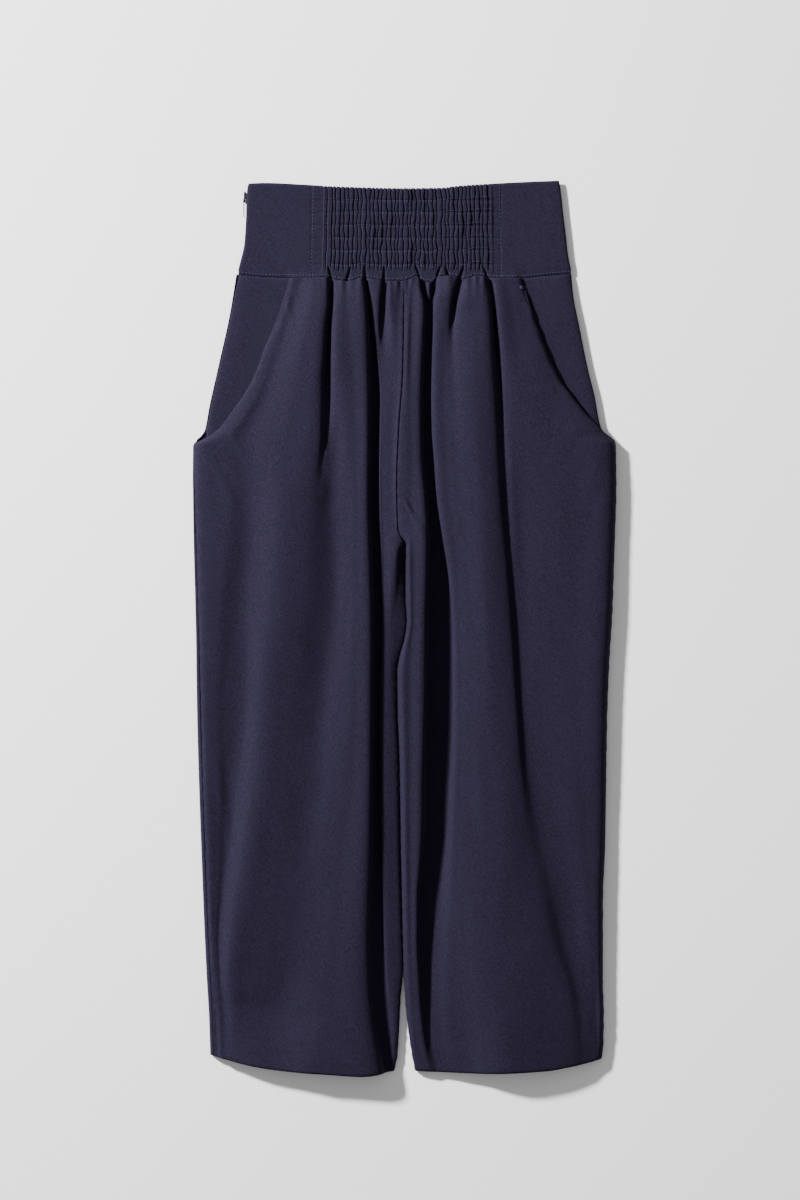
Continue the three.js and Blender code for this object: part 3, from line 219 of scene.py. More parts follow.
left_pocket_edge = line(0,
  [355, 116.6, 4.8], [341, 120, 6.4], [320, 126, 8], [291, 136, 8.6], [265, 147, 8.8], [245, 157.5, 8.8],
  [232, 167.5, 8.7], [218, 178.5, 8.4], [200, 196.4, 7.6], [191, 204.8, 6.8], [184, 211.6, 4],
  *LEFT_SIDE_BELOW)
LEFT_FRONT_FOLDS = [
  left_inner,
  turn(2, left_inner, 1, *INNER_TURN),
  # inner shoulder and inner crest
  line(2, [355, 5, 8.6], [256, 2, 11.3], [144, -2, 11.5], [99, -1, 11.6], [84, 3.6, 12.2], [66, 3.6, 12.6],
    [8, 4.6, 12.8], [-28, -2.2, 12.7], [-44, -4.4, 12.6], [-130, -2, 12.5], [-232, -0.4, 11.7],
    [-340, 2, 10], [-405, 6.4, 8], [-444, 12.8, 5.8]),
  line(1, [355, 8.4, 8.6], [228, 6, 11.2], [128, 7, 11.6], [68, 9, 12.9], [8, 9.6, 13.1],
    [-28, 6.5, 13.1], [-72, 6, 13], [-152, 6, 12.8], [-232, 6, 12.1], [-312, 6.8, 11.2], [-372, 9, 10.2],
    [-405, 12, 9], [-444, 18, 6.8]),
  # fold three, the widest: lip, floor, small ridge at the waist, floor, lip
  line(2, [355, 13, 8.2], [340, 15.4, 9.4], [329, 19.2, 10], [316, 19.8, 10.2], [284, 18, 10.5],
    [228, 16.8, 10.6], [172, 17.6, 10.8], [128, 21.2, 11.8], [88, 23, 12.7], [59, 22.8, 13], [0, 21.4, 13],
    [-72, 21, 13], [-112, 20, 12.9], [-152, 18.8, 12.7], [-192, 18.2, 12.5], [-232, 16.2, 12.1],
    [-272, 13, 11.8], [-312, 12.8, 11.2], [-352, 15, 10.6], [-405, 18.8, 9.4], [-444, 25.6, 7.6]),
  line(1, [355, 16.8, 5], [340, 19, 3.8], [329, 21.8, 3.1], [316, 22.8, 3], [284, 21.2, 3], [228, 20.2, 3],
    [172, 21.2, 3], [128, 24.8, 3], [88, 26.8, 3], [59, 26.6, 3], [0, 25.4, 3], [-72, 25, 3],
    [-112, 24, 3], [-192, 22, 3], [-232, 20, 3], [-272, 17, 3.2], [-312, 17, 4], [-350, 19.4, 5],
    [-405, 24, 6.4], [-444, 32, 6.4]),
  line(1, [355, 24.5, 8.4], [344, 24.6, 9], [336, 24.8, 8], [329, 24.8, 5.6], [322, 24.7, 3.2],
    [284, 23.7, 3], [228, 22.8, 3], [172, 23.8, 3], [128, 27.6, 3], [88, 31.6, 3], [59, 34.6, 3],
    [0, 35, 3], [-72, 35, 3], [-152, 33, 3], [-231, 29.6, 3], [-272, 27, 3.4], [-310, 25.4, 4.2],
    [-350, 25, 5.2], [-405, 28.4, 6.8], [-444, 37, 6.8]),
  line(1, [355, 31.6, 5], [340, 29.8, 3.8], [329, 27.6, 3.1], [298, 27.4, 3], [270, 26.6, 3], [228, 25.8, 3],
    [198, 26.4, 3], [172, 28.4, 3], [128, 31.8, 3], [87, 37.8, 3], [48, 43.6, 3], [3, 46.4, 3],
    [-72, 47.6, 3], [-112, 46.8, 3], [-152, 45, 3], [-192, 43, 3], [-232, 39.6, 3.6], [-272, 36, 4.8],
    [-312, 32, 5.8], [-350, 31, 6.6], [-405, 33, 7.4], [-444, 42, 7.4]),
  line(2, [355, 35, 7.8], [340, 32, 8.6], [329, 29.4, 9], [298, 29, 9.2], [270, 28.2, 9.2],
    [228, 27.4, 9.2], [198, 28, 9.2], [172, 30, 9.2], [128, 33.4, 9.2], [87, 39.6, 9.3], [48, 45.4, 9.4],
    [3, 48.4, 9.4], [-72, 49.6, 9.4], [-112, 49.2, 9.4], [-152, 48, 9.4], [-192, 46.8, 9.3],
    [-232, 45, 9.2], [-272, 43, 9], [-312, 41, 8.9], [-350, 40, 8.8], [-405, 42, 8.7], [-444, 50, 8.5]),
  # short pleat: lip, floor, lip
  line(1, [355, 52.6, 8.4], [338, 50, 10], [322, 46.6, 10.5], [283, 42, 10.3], [228, 41, 10.4],
    [128, 46, 10.7], [59, 54, 11], [-72, 58, 11.2], [-231, 54, 11], [-310, 52, 10.5], [-350, 52, 10],
    [-444, 62, 9.6]),
  line(1, [355, 56.4, 5], [337, 53.4, 4.6], [322, 50, 7], [298, 48, 9.4], [276, 47.8, 10.3],
    [228, 50, 10.9], [128, 56, 11.7], [59, 64, 12], [-72, 68, 12.1], [-231, 63, 12], [-310, 61, 11.5],
    [-350, 61, 11], [-444, 70, 10.6]),
  line(2, [355, 60.6, 8.2], [337, 56.6, 9.9], [322, 54, 10.8], [298, 53.4, 11.2], [276, 54.4, 11.6],
    [228, 58, 12.2], [128, 64, 12.7], [59, 71, 12.8], [-72, 77, 12.9], [-231, 76, 13.1],
    [-310, 76, 13.2], [-444, 79, 12.4]),
  # middle crest
  line(2, [355, 72, 8.8], [328, 70, 12], [283, 71, 13], [228, 72, 13.3], [128, 77.4, 13.5], [59, 81, 13.4],
    [-72, 88, 13.4], [-152, 94, 13.6], [-232, 102, 13.9], [-312, 98, 14.1], [-372, 98, 14.2],
    [-444, 101, 14.3]),
  # fold four: lip, floor, lip
  line(2, [355, 80.4, 8.4], [328, 85, 10.4], [298, 87.4, 11.2], [270, 88.8, 11.4], [228, 91, 11.5],
    [188, 92, 11.6], [128, 95.4, 11.7], [58, 101.4, 11.6], [-12, 106.4, 11.5], [-72, 110, 11.7],
    [-132, 113.6, 11.9], [-192, 120, 12], [-252, 131, 12.2], [-312, 146, 12.2], [-372, 164, 11.4],
    [-444, 168, 11.2]),
  line(2, [355, 84.6, 5], [328, 88.4, 3.6], [298, 91, 3.8], [270, 93, 6.2], [228, 95.4, 8],
    [188, 97, 8.8], [128, 100.6, 9.2], [58, 106, 9.2], [-12, 111, 9.3], [-72, 116, 9.5], [-132, 121.6, 9.6],
    [-192, 132, 9.7], [-252, 146, 9.7], [-312, 159, 9.7], [-372, 174, 9.6], [-444, 180, 9.7]),
  line(2, [355, 88.4, 7.8], [328, 91.4, 9.2], [298, 94.2, 9.8], [270, 96.8, 9.8], [228, 100, 9.6],
    [188, 105, 9.6], [128, 112, 9.5], [58, 118, 9.4], [-12, 124, 9.3], [-72, 131, 9.3], [-132, 139, 9.3],
    [-192, 150, 9.2], [-252, 162, 9.2], [-312, 173, 9.2], [-372, 183.5, 9.2], [-444, 187, 8.9]),
  # outer plain
  line(2, [355, 102, 8.4], [283, 116, 10.2], [228, 136, 10.3], [183, 154, 10.3], [128, 166, 10.3],
    [-72, 172, 10.4], [-232, 181, 10.2], [-312, 187, 9.8], [-372, 190.4, 9], [-444, 192, 8.4]),
  beside(2, left_pocket_edge, -2.6, [355, 7.6], [265, 9.6], [200, 9.4], [184, 9], [141, 9.2], [-272, 9],
    [-388, 8.6], [-444, 7.6]),
  turn(1, left_pocket_edge, -1,
    [355, 1.2, 0.2], [200, 1.2, 0.5], [184, 0.4, 1.2], [141, 0.1, 1.3], [-444, 0.1, 1.3]),
  left_pocket_edge,
]


# The waist seam waves with the gathers above it and the folds below it.
waist_wave = smooth([
  [-172, 354.6], [-134, 351.3], [-95, 350.8], [-80, 351.2], [-68, 348.6], [-56, 347.2], [-43, 350.6],
  [-15, 347.4], [-1, 347.6], [5, 349.4], [12, 352.4], [18, 347.4], [27, 345.6], [34, 351.8], [45, 352.8],
  [60, 349.2], [72, 352.6], [82, 351.4], [93, 350.2], [118, 350.4], [138, 352.4], [172, 355.2],
])
right_hem = smooth([
  [-194, -427.5], [-179, -431.5], [-148, -438.8], [-118, -442.8], [-72, -446.2], [-41, -448], [-10, -443.5],
])
left_hem = smooth([
  [10, -443.6], [74, -445.4], [141, -442.8], [166, -438.7], [182, -435.3], [198, -431],
])
band_top = smooth([
  [-156, 445.2], [-140, 445.8], [-100, 444], [-66, 442], [0, 440.4], [36, 440.8], [55, 442.8], [95, 445.4],
  [125, 446.9], [154, 448],
])
band_right = smooth([[355, -166.5], [384, -160.4], [424, -158.2], [437, -157.8], [446, -156]])
band_left = smooth([[355, 166.5], [370, 163.6], [388, 161.7], [410, 159], [432, 156.6], [449, 154]])


# Surfaces


def section(lines, y, fine):
    """Points [x, z] of the smooth sections through a panel's lines at the heights y."""
    p = np.stack([at(y) for _, at in lines])
    p = np.concatenate([2 * p[:1] - p[1:2], p, 2 * p[-1:] - p[-2:-1]])
    gap = np.maximum(np.sqrt(np.linalg.norm(np.diff(p, axis=0), axis=-1)), 1e-4)[..., None]
    columns = []
    for k in range(1, len(p) - 2):
        a, b, c, d = p[k - 1 : k + 3]
        g0, g1, g2 = gap[k - 1 : k + 2]
        start = ((b - a) / g0 - (c - a) / (g0 + g1) + (c - b) / g1) * g1
        end = ((c - b) / g1 - (d - b) / (g1 + g2) + (d - c) / g2) * g1
        steps = lines[k - 1][0] * fine
        for s in np.arange(steps) / steps:
            columns.append(
                (2 * s**3 - 3 * s**2 + 1) * b
                + (s**3 - 2 * s**2 + s) * start
                + (3 * s**2 - 2 * s**3) * c
                + (s**3 - s**2) * end
            )
    columns.append(p[-2])
    return np.stack(columns, 1)


def faded(distance, reach):
    return np.maximum(0, 1 - distance / reach) ** 2


def leg_grid(lines, y, hem, lowest, fine):
    """Outer face of a leg panel: its rows from the waist seam to the hem, its columns across."""
    xz = section(lines, y, fine)
    x, z = xz[..., 0], xz[..., 1]
    z = np.maximum(np.where(z > FULL_FROM, FULL_FROM + (z - FULL_FROM) * FULLNESS, z), lowest)
    rows = np.broadcast_to(y[:, None], x.shape)
    at_waist = faded(WAIST_Y - rows, WAIST_REACH) * (waist_wave(x) - WAIST_Y - SEAM_GAP / 2)
    at_hem = faded(rows - HEM_Y, HEM_REACH) * (hem(x) - HEM_Y)
    return np.stack([x, rows + at_waist + at_hem, z], -1)


def normals_of(grid):
    across = np.gradient(grid, axis=1)
    down = np.gradient(grid, axis=0)
    n = np.cross(down, across)
    return n / np.maximum(np.linalg.norm(n, axis=-1, keepdims=True), 1e-9)


def shell(name, outer, inner):
    """A closed wall between two grids of the same size, as a mesh object."""
    rows, columns = outer.shape[:2]
    number = np.arange(rows * columns).reshape(rows, columns)
    inside = number + rows * columns
    quads = []

    def add(a, b, c, d):
        quads.append(np.stack([a, b, c, d], -1).reshape(-1, 4))

    add(number[:-1, :-1], number[1:, :-1], number[1:, 1:], number[:-1, 1:])
    add(inside[:-1, :-1], inside[:-1, 1:], inside[1:, 1:], inside[1:, :-1])
    add(number[:-1, 0], inside[:-1, 0], inside[1:, 0], number[1:, 0])
    add(number[:-1, -1], number[1:, -1], inside[1:, -1], inside[:-1, -1])
    add(number[0, :-1], number[0, 1:], inside[0, 1:], inside[0, :-1])
    add(number[-1, :-1], inside[-1, :-1], inside[-1, 1:], number[-1, 1:])
    points = np.concatenate([outer.reshape(-1, 3), inner.reshape(-1, 3)]) * MM
    return mesh_object(name, points, np.concatenate(quads))


def mesh_object(name, points, quads):
    mesh = bpy.data.meshes.new(name)
    mesh.vertices.add(len(points))
    mesh.vertices.foreach_set("co", np.ascontiguousarray(points, np.float32).ravel())
    mesh.loops.add(quads.size)
    mesh.loops.foreach_set("vertex_index", np.ascontiguousarray(quads, np.int32).ravel())
    mesh.polygons.add(len(quads))
    mesh.polygons.foreach_set("loop_start", np.arange(0, quads.size, 4, dtype=np.int32))
    mesh.polygons.foreach_set("use_smooth", np.ones(len(quads), bool))
    mesh.update(calc_edges=True)
    mesh.validate()
    made = bpy.data.objects.new(name, mesh)
    bpy.context.scene.collection.objects.link(made)
    return made


def cloth_shell(name, grid, wall, lowest):
    """A panel from its outer face, with its inner face a wall's thickness inside it."""
    inner = grid - normals_of(grid) * wall[..., None]
    inner[..., 2] = np.maximum(inner[..., 2], lowest)
    return shell(name, grid, inner)


# Fine relief of the cloth


def soft_relief(x, y, turn_by):
    """Slow, shallow unevenness of cloth that has been smoothed out by hand."""
    return (
        0.22 * np.sin(x / 17 + y / 61 + turn_by)
        + 0.18 * np.sin(x / 9.5 - y / 47 + 2.1 * turn_by + 0.8 * np.sin(y / 83))
        + 0.16 * np.sin(x / 31 + y / 23 + 0.6 * turn_by + 1.1 * np.sin(x / 41))
        + 0.10 * np.sin(x / 6.3 + y / 38 + 1.7 * turn_by + 1.3 * np.sin(y / 29))
    )


def crease(x, y, start, end, width, height):
    """Height of one straight soft crease from start to end, fading at both ends."""
    (x0, y0), (x1, y1) = start, end
    length = math.hypot(x1 - x0, y1 - y0)
    ux, uy = (x1 - x0) / length, (y1 - y0) / length
    along = ((x - x0) * ux + (y - y0) * uy) / length
    aside = (x - x0) * -uy + (y - y0) * ux
    fade = np.clip(1 - np.abs(2 * along - 1), 0, 1) ** 0.7
    ridge = np.exp(-((aside / width) ** 2))
    trough = np.exp(-(((aside - 1.9 * width) / width) ** 2))
    return height * fade * (ridge - 0.45 * trough)


# Creases of the front: start, end, width, height.
RIGHT_CREASES = [
  [(-186, -372), (-126, -386), 9, -0.8],
  [(-176, 196), (-150, 160), 4, 0.8],
  [(-196, 176), (-168, 118), 4, 0.7],
  [(-120, 340), (-112, 300), 3, 0.6],
  [(-190, -120), (-176, -220), 5, 0.6],
  [(-79.5, 246), (-80, 126), 6, 3.4],
]
LEFT_CREASES = [
  [(-1, 128), (20, 92), 2.0, 2.8],
  [(160, -366), (200, -404), 4, 0.7],
  [(178, 208), (150, 170), 4, 0.8],
  [(196, 176), (176, 110), 4, 0.7],
  [(122, 340), (128, 300), 3, 0.6],
  [(70, -120), (84, -230), 7, 0.6],
  [(103, 215), (113, -60), 6, 1.3],
]


def front_relief(grid, creases, hem, inner_edge, side_edge, turn_by):
    x, y = grid[..., 0], grid[..., 1]
    below_seam = waist_wave(x) - y
    near_inner = np.abs(x - inner_edge(y)[..., 0])
    near_side = np.abs(x - side_edge(y)[..., 0])
    relief = soft_relief(x, y, turn_by) * np.clip(below_seam / 40, 0.3, 1) * np.clip(near_inner / 16, 0, 1)
    for start, end, width, height in creases:
        relief = relief + crease(x, y, start, end, width, height)
    # the ends of the free gathers, under the shirring
    gathered = np.clip((x + 86) / 8, 0, 1) * np.clip((92 - x) / 8, 0, 1)
    waves = np.cos(2 * math.pi * x / 8.7 + 1.3 * np.sin(x / 13))
    relief += gathered * 0.9 * waves * np.exp(-np.maximum(below_seam, 0) / 11)
    # the seam draws the cloth in
    relief -= 0.2 * np.exp(-((below_seam / 1.1) ** 2))
    # puckers along the inner and side seams
    relief += 0.22 * np.sin(2 * math.pi * y / 13 + 2 * np.sin(y / 37)) * np.exp(-near_inner / 5)
    relief += 0.22 * np.sin(2 * math.pi * y / 17 + 2 * np.sin(y / 29)) * np.exp(-near_side / 6)
    # blind stitches of the hem, and the edge of its turn-up under the cloth
    above_hem = y - hem(x)
    dimples = np.maximum(0, np.cos(2 * math.pi * x / 8)) ** 4
    stitch_row = np.exp(-(((above_hem - HEM_DEPTH + 1) / 1.8) ** 2))
    relief -= 0.5 * stitch_row * dimples * np.clip(near_side / 20, 0, 1)
    relief += 0.12 / (1 + np.exp((above_hem - HEM_DEPTH + 2) / 1.5))
    relief -= 0.5 * np.exp(-((above_hem / 1.2) ** 2))
    return grid + normals_of(grid) * relief[..., None]


# Rows of the panels, closer at the waist and at the hem, where the relief is finest.
FRONT_Y = np.concatenate([
    np.arange(WAIST_Y, 326, -1.2), np.arange(326, 60, -2.4), np.arange(60, -400, -3.2),
    np.arange(-400, HEM_Y, -2.0), [HEM_Y],
])
BACK_Y = np.concatenate([np.arange(WAIST_Y, 60, -3.0), np.arange(60, HEM_Y, -4.0), [HEM_Y]])


def hem_wall(grid, hem):
    """Wall of a leg panel: nearly twice the cloth's where the hem is turned up."""
    above = np.minimum(grid[..., 1] - hem(grid[..., 0]), 10 * HEM_DEPTH)
    return CLOTH + (HEM_WALL - CLOTH) / (1 + np.exp((above - HEM_DEPTH) / 0.8))


under_front = CLOTH + SEAM_GAP
right_grid = leg_grid(RIGHT_FRONT_FOLDS, FRONT_Y, right_hem, FLOOR_OF_FRONT, 4)
right_grid = front_relief(right_grid, RIGHT_CREASES, right_hem, right_inner[1], right_pocket_edge[1], 0.4)
right_front = cloth_shell("right_front_cloth", right_grid, hem_wall(right_grid, right_hem), under_front)
left_grid = leg_grid(LEFT_FRONT_FOLDS, FRONT_Y, left_hem, FLOOR_OF_FRONT, 4)
left_grid = front_relief(left_grid, LEFT_CREASES, left_hem, left_inner[1], left_pocket_edge[1], 2.9)
left_front = cloth_shell("left_front_cloth", left_grid, hem_wall(left_grid, left_hem), under_front)

# Back panels: flat on the table, curled up at both edges to meet the front.
CURL = [
  # in from the seam where curled, where flat, share of the seam's height
  [0, 0, 1],
  [0.12, 1.5, 0.5],
  [1.6, 3, 0.08],
  [4.5, 4.5, 0],
]
BACK_STEPS = 15
side_rise = smooth([[355, 0.5], [338, 0.95], [325, 1], [204, 1], [194, 0.35], [186, 0.35], [178, 1],
                    [-450, 1]])
seam_rise = smooth([[355, 0], [98, 0], [84, 0.2], [68, 1], [-450, 1]])
rolled_share = smooth([[355, 0], [186, 0], [150, 1], [-450, 1]])
right_back_inner = smooth([[355, -0.2], [90, 0], [68, 0.6]])
left_back_inner = smooth([[355, 0.2], [90, 0.4], [68, 1]])


def back_lines(side, inner, inner_above, sign, roll):
    def curl(x_of, direction, row, rise, steps):
        curled, flat, share = row

        def at(y):
            x = x_of(y) + direction * (flat + (curled - flat) * rise(y))
            return np.stack([x, SEAM_HEIGHT * share * rise(y)], -1)

        return steps, at

    def side_x(y):
        return side[1](y)[..., 0]

    def inner_x(y):
        return np.where(np.asarray(y) > CROTCH_Y, inner_above(y), inner[1](y)[..., 0])

    last = len(CURL) - 1
    return [
        *roll,
        *[curl(side_x, -sign, row, side_rise, BACK_STEPS if k == last else 1) for k, row in enumerate(CURL)],
        *[curl(inner_x, sign, row, seam_rise, 1) for row in reversed(CURL)],
    ]


def roll_line(steps, apart, down):
    """A line of the back where it is rolled on to the front at the right side seam."""

    def at(y):
        seam, side = right_pocket_edge[1](y), right_side[1](y)
        share = rolled_share(y)
        foot = SEAM_HEIGHT * side_rise(y) + 0.1
        x = np.maximum(side[..., 0], seam[..., 0] - apart)
        z = foot + share * (seam[..., 1] - down - foot)
        return np.stack([side[..., 0] + share * (x - side[..., 0]), z], -1)

    return steps, at


# Creases of the underside, all pressed up into the cloth: start, end, width, height.
BACK_CREASES = [
  [(-60, 330), (-48, 120), 5, 0.24], [(-96, 320), (-118, 60), 7, 0.2], [(64, 330), (52, 130), 5, 0.24],
  [(104, 318), (124, 40), 7, 0.2], [(-8, 90), (-40, 30), 4, 0.24], [(8, 90), (42, 26), 4, 0.24],
  [(-190, -360), (-120, -388), 6, 0.2], [(186, -356), (128, -390), 6, 0.2],
  [(-80, -60), (-96, -330), 8, 0.18], [(92, -40), (110, -340), 8, 0.18],
]


def back_relief(grid, turn_by):
    """The underside rests on the table, so its unevenness only goes up into the cloth."""
    x, y = grid[..., 0], grid[..., 1]
    relief = np.maximum(0, 0.35 * soft_relief(x, y, turn_by))
    for start, end, width, height in BACK_CREASES:
        relief = relief + np.maximum(0, crease(x, y, start, end, width, height))
    flat = np.clip(1 - grid[..., 2] / 0.05, 0, 1)
    made = grid.copy()
    made[..., 2] += np.minimum(relief, 0.26) * flat
    return made


right_roll = [roll_line(1, SEAM_GAP, 0), roll_line(1, 1.5, 0.15), roll_line(2, 3, 1.4)]
right_back_grid = leg_grid(
    back_lines(right_side, right_inner, right_back_inner, -1, right_roll), BACK_Y, right_hem, 0, 3)[:, ::-1]
left_back_grid = leg_grid(back_lines(left_side, left_inner, left_back_inner, 1, []), BACK_Y, left_hem, 0, 3)
right_back_grid = back_relief(right_back_grid, 1.7)
left_back_grid = back_relief(left_back_grid, 4.1)
right_back = cloth_shell("right_back_cloth", right_back_grid, np.full(right_back_grid.shape[:2], CLOTH), 0)
left_back = cloth_shell("left_back_cloth", left_back_grid, np.full(left_back_grid.shape[:2], CLOTH), 0)

# Pocket facings
FACING_REACH = 24
FACING_FOOT_Y = 158
POCKET_TURN_Y = 205  # below this the pocket edge turns out to the side seam, and the facing doesn't
facing_top = smooth([[355, 3.1], [338, 4.8], [300, 5.6], [158, 5.6]])
facing_inset = smooth([[355, 1.8], [330, 0.4], [315, 0], [199, 0], [183, 12], [158, 14]])


def facing_lines(side, pocket_edge, sign):
    def in_from_side(y, inset):
        return side[1](y)[..., 0] - sign * (facing_inset(y) + inset)

    def top(y, raised):
        return facing_top(y) + raised * faded(WAIST_Y - y, 30)

    def across(steps, inset, height):
        return steps, lambda y: np.stack([in_from_side(y, inset), height(y)], -1)

    def inward(steps, share, raised):
        def at(y):
            start = in_from_side(y, 6)
            end = pocket_edge[1](np.maximum(y, POCKET_TURN_Y))[..., 0] - sign * FACING_REACH
            return np.stack([start + share * (end - start), top(y, raised)], -1)

        return steps, at

    def low(y):
        return SEAM_HEIGHT * side_rise(y) + 2 * SEAM_GAP

    def high(y):
        return top(y, 1.1)

    return [
        across(1, 0, low),
        across(1, 0.15, lambda y: (low(y) + high(y)) / 2),
        across(1, 2.2, high),
        inward(3, 0.5, 0.7),
        inward(1, 1, 0),
    ]


FACING_Y = np.arange(WAIST_Y, FACING_FOOT_Y - 1, -2.4)


def pocket_facing(name, side, pocket_edge, sign, turn_by):
    # a facing ends far above the hem, so either hem will do here
    grid = leg_grid(facing_lines(side, pocket_edge, sign), FACING_Y, right_hem, 0, 6)
    if sign > 0:
        grid = grid[:, ::-1]
    x, y = grid[..., 0], grid[..., 1]
    relief = 0.5 * soft_relief(x, y, turn_by) - 0.2 * np.exp(-(((waist_wave(x) - y) / 1.6) ** 2))
    relief = np.minimum(relief, 0.1)
    grid = grid + normals_of(grid) * relief[..., None]
    return cloth_shell(name, grid, np.full(grid.shape[:2], CLOTH), 0)


right_facing = pocket_facing("right_pocket_facing_cloth", right_side, right_pocket_edge, -1, 1.1)
left_facing = pocket_facing("left_pocket_facing_cloth", left_side, left_pocket_edge, 1, 2.3)

# Waistband
ELASTIC_Y = [364, 378, 390.5, 403, 416, 428]
GATHERS = 40
SHIRR_RIGHT = (-82.6, -80.6)
SHIRR_LEFT = (88.4, 87.4)
BAND_UNDER = 3.4
BAND_TOP = 5.2
BAND_WALL = 1.5
GATHER_FLOOR = 4.6
GATHER_HEIGHT = 2.5
ROWS_BEYOND = (10.5, 8)  # how far the rows of elastic are sewn on beyond the gathers, right and left
WEDGE_DEPTH = 2.9
FRONT_CENTRE, FRONT_HALF = -1, 114  # the fronts meet the waist seam this far either side of x = -1
OVER_FRONT, OVER_FACING = 1.9, -0.8  # how far the foot of the plain ends is raised there and beyond
# Wedges between the free ends of the gathers, which run into the folds below: x, and lean to the side.
WEDGES = [
  (-73, -0.3), (-58, 0.3), (-39, -0.1), (-20.4, 0), (15.4, -0.4), (32, 0.4), (44, -0.3), (55.6, 0.3),
  (83, -0.4),
]
rng = np.random.default_rng(34)
valley_shift = np.concatenate([[0], rng.uniform(-0.2, 0.2, GATHERS - 1), [0]])  # in gathers
gather_swell = rng.uniform(0.72, 1.12, GATHERS)
gather_swell[[0, -1]] = 0.55
gather_sway = rng.uniform(0, 2 * math.pi, (GATHERS + 1, 3))


def band_surface(u, t):
    """Outer face of the front waistband. u runs from the right side to the left through its three
    thirds, 0 to 3, and t from the waist seam to the top edge, 0 to 1."""
    u, t = np.broadcast_arrays(np.asarray(u, float), np.asarray(t, float))
    nominal = WAIST_Y + t * (band_top(0) - WAIST_Y)
    edges = [
        band_right(nominal + 4 * t),
        SHIRR_RIGHT[0] + t * (SHIRR_RIGHT[1] - SHIRR_RIGHT[0]),
        SHIRR_LEFT[0] + t * (SHIRR_LEFT[1] - SHIRR_LEFT[0]),
        band_left(nominal + 4 * t),
    ]
    third = np.clip(np.floor(u), 0, 2).astype(int)
    share = u - third
    middle = third == 1
    g = np.clip(share * GATHERS, 0, GATHERS - 1e-6)
    k = np.floor(g).astype(int)
    phase = g - k
    sway = np.stack([
        0.16 * np.sin(2.2 * math.pi * t * 2 + gather_sway[:, 0][k + j])
        + 0.10 * np.sin(2.2 * math.pi * t * 5 + gather_sway[:, 1][k + j])
        for j in (0, 1)
    ])
    held = np.stack([np.sin(math.pi * (k + j) / GATHERS) ** 0.3 for j in (0, 1)])
    start = k + valley_shift[k] + sway[0] * held[0]
    end = k + 1 + valley_shift[k + 1] + sway[1] * held[1]
    share = np.where(middle, (start + phase * (end - start)) / GATHERS, share)
    low = np.choose(third, edges[:3])
    high = np.choose(third, edges[1:])
    x = low + share * (high - low)
    foot = waist_wave(x) + SEAM_GAP / 2
    y = foot + t * (band_top(x) - foot)
    pinch = sum(np.exp(-(((y - at) / 1.3) ** 2)) for at in ELASTIC_Y)
    lobe = (1 - np.abs(2 * phase - 1) ** 6) ** 0.7
    uneven = gather_swell[k] * (1 + 0.18 * np.sin(9 * t + gather_sway[k, 2]))
    to_edge = np.clip(1 - 2 * np.minimum(g, GATHERS - g), 0, 1)
    floor = GATHER_FLOOR + (BAND_TOP - GATHER_FLOOR) * to_edge
    z_middle = floor + GATHER_HEIGHT * uneven * lobe * (1 - 0.35 * np.minimum(pinch, 1))
    opened = np.clip((ELASTIC_Y[0] - 1 - y) / 6, 0, 1)
    z_middle = z_middle + opened * (GATHER_FLOOR + 0.75 * GATHER_HEIGHT - z_middle)
    for at, slant in WEDGES:
        off = x - at - slant * (y - foot)
        wide = 0.8 + 1.1 * np.exp(-np.maximum(y - foot, 0) / 5)
        z_middle = z_middle - WEDGE_DEPTH * np.exp(-((off / wide) ** 2)) * opened**0.6
    from_shirr = np.maximum(np.where(third == 0, SHIRR_RIGHT[0] - x, x - SHIRR_LEFT[0]), 0)
    beyond = np.where(third == 0, *ROWS_BEYOND)
    rows = sum(np.exp(-(((y - at) / 0.9) ** 2)) for at in ELASTIC_Y)
    z_side = BAND_TOP + 0.3 * soft_relief(x, y, 0.9)
    z_side = z_side - 0.4 * rows / (1 + np.exp((from_shirr - beyond) / 0.5))
    z_side = z_side - 0.3 * np.exp(-(((from_shirr - beyond) / 0.9) ** 2))
    # at the waist seam the band lies as high as the front, or as the pocket facing at the hips
    z_seam = np.where(np.abs(x - FRONT_CENTRE) < FRONT_HALF, OVER_FRONT, OVER_FACING)
    z_side = z_side + z_seam * np.exp(-np.maximum(y - foot, 0) / 5)
    from_side = np.minimum(x - edges[0], edges[3] - x)
    z_side = z_side - 1.0 * np.maximum(0, 1 - from_side / 3.0) ** 2
    z = np.where(middle, z_middle, z_side)
    z = z - 0.12 * np.exp(-(((y - foot) / 0.8) ** 2)) - 1.0 * np.exp(-(((band_top(x) - y) / 1.4) ** 2))
    top_dip = np.where(middle, 0.9 * (1 - lobe), 0) * np.exp(-((band_top(x) - y) / 3))
    return np.stack([x, y - top_dip, np.maximum(z, BAND_UNDER + 0.35)], -1)


side_u = np.concatenate([
    np.linspace(0, 0.04, 5)[:-1], np.linspace(0.04, 0.8, 16)[:-1], np.linspace(0.8, 1, 19)[:-1],
])
band_u = np.concatenate([side_u, 1 + np.linspace(0, 1, GATHERS * 9 + 1)[:-1], 3 - side_u[::-1]])
band_t = np.concatenate([
    np.linspace(1, 0.96, 7)[:-1], np.linspace(0.96, 0.04, 88)[:-1], np.linspace(0.04, 0, 7),
])
band_grid = band_surface(band_u[None, :], band_t[:, None])
band_inner = band_grid.copy()
band_inner[..., 2] = BAND_UNDER
waistband_front = shell("waistband_front_cloth", band_grid, band_inner)


BACK_BAND_ROWS = 25


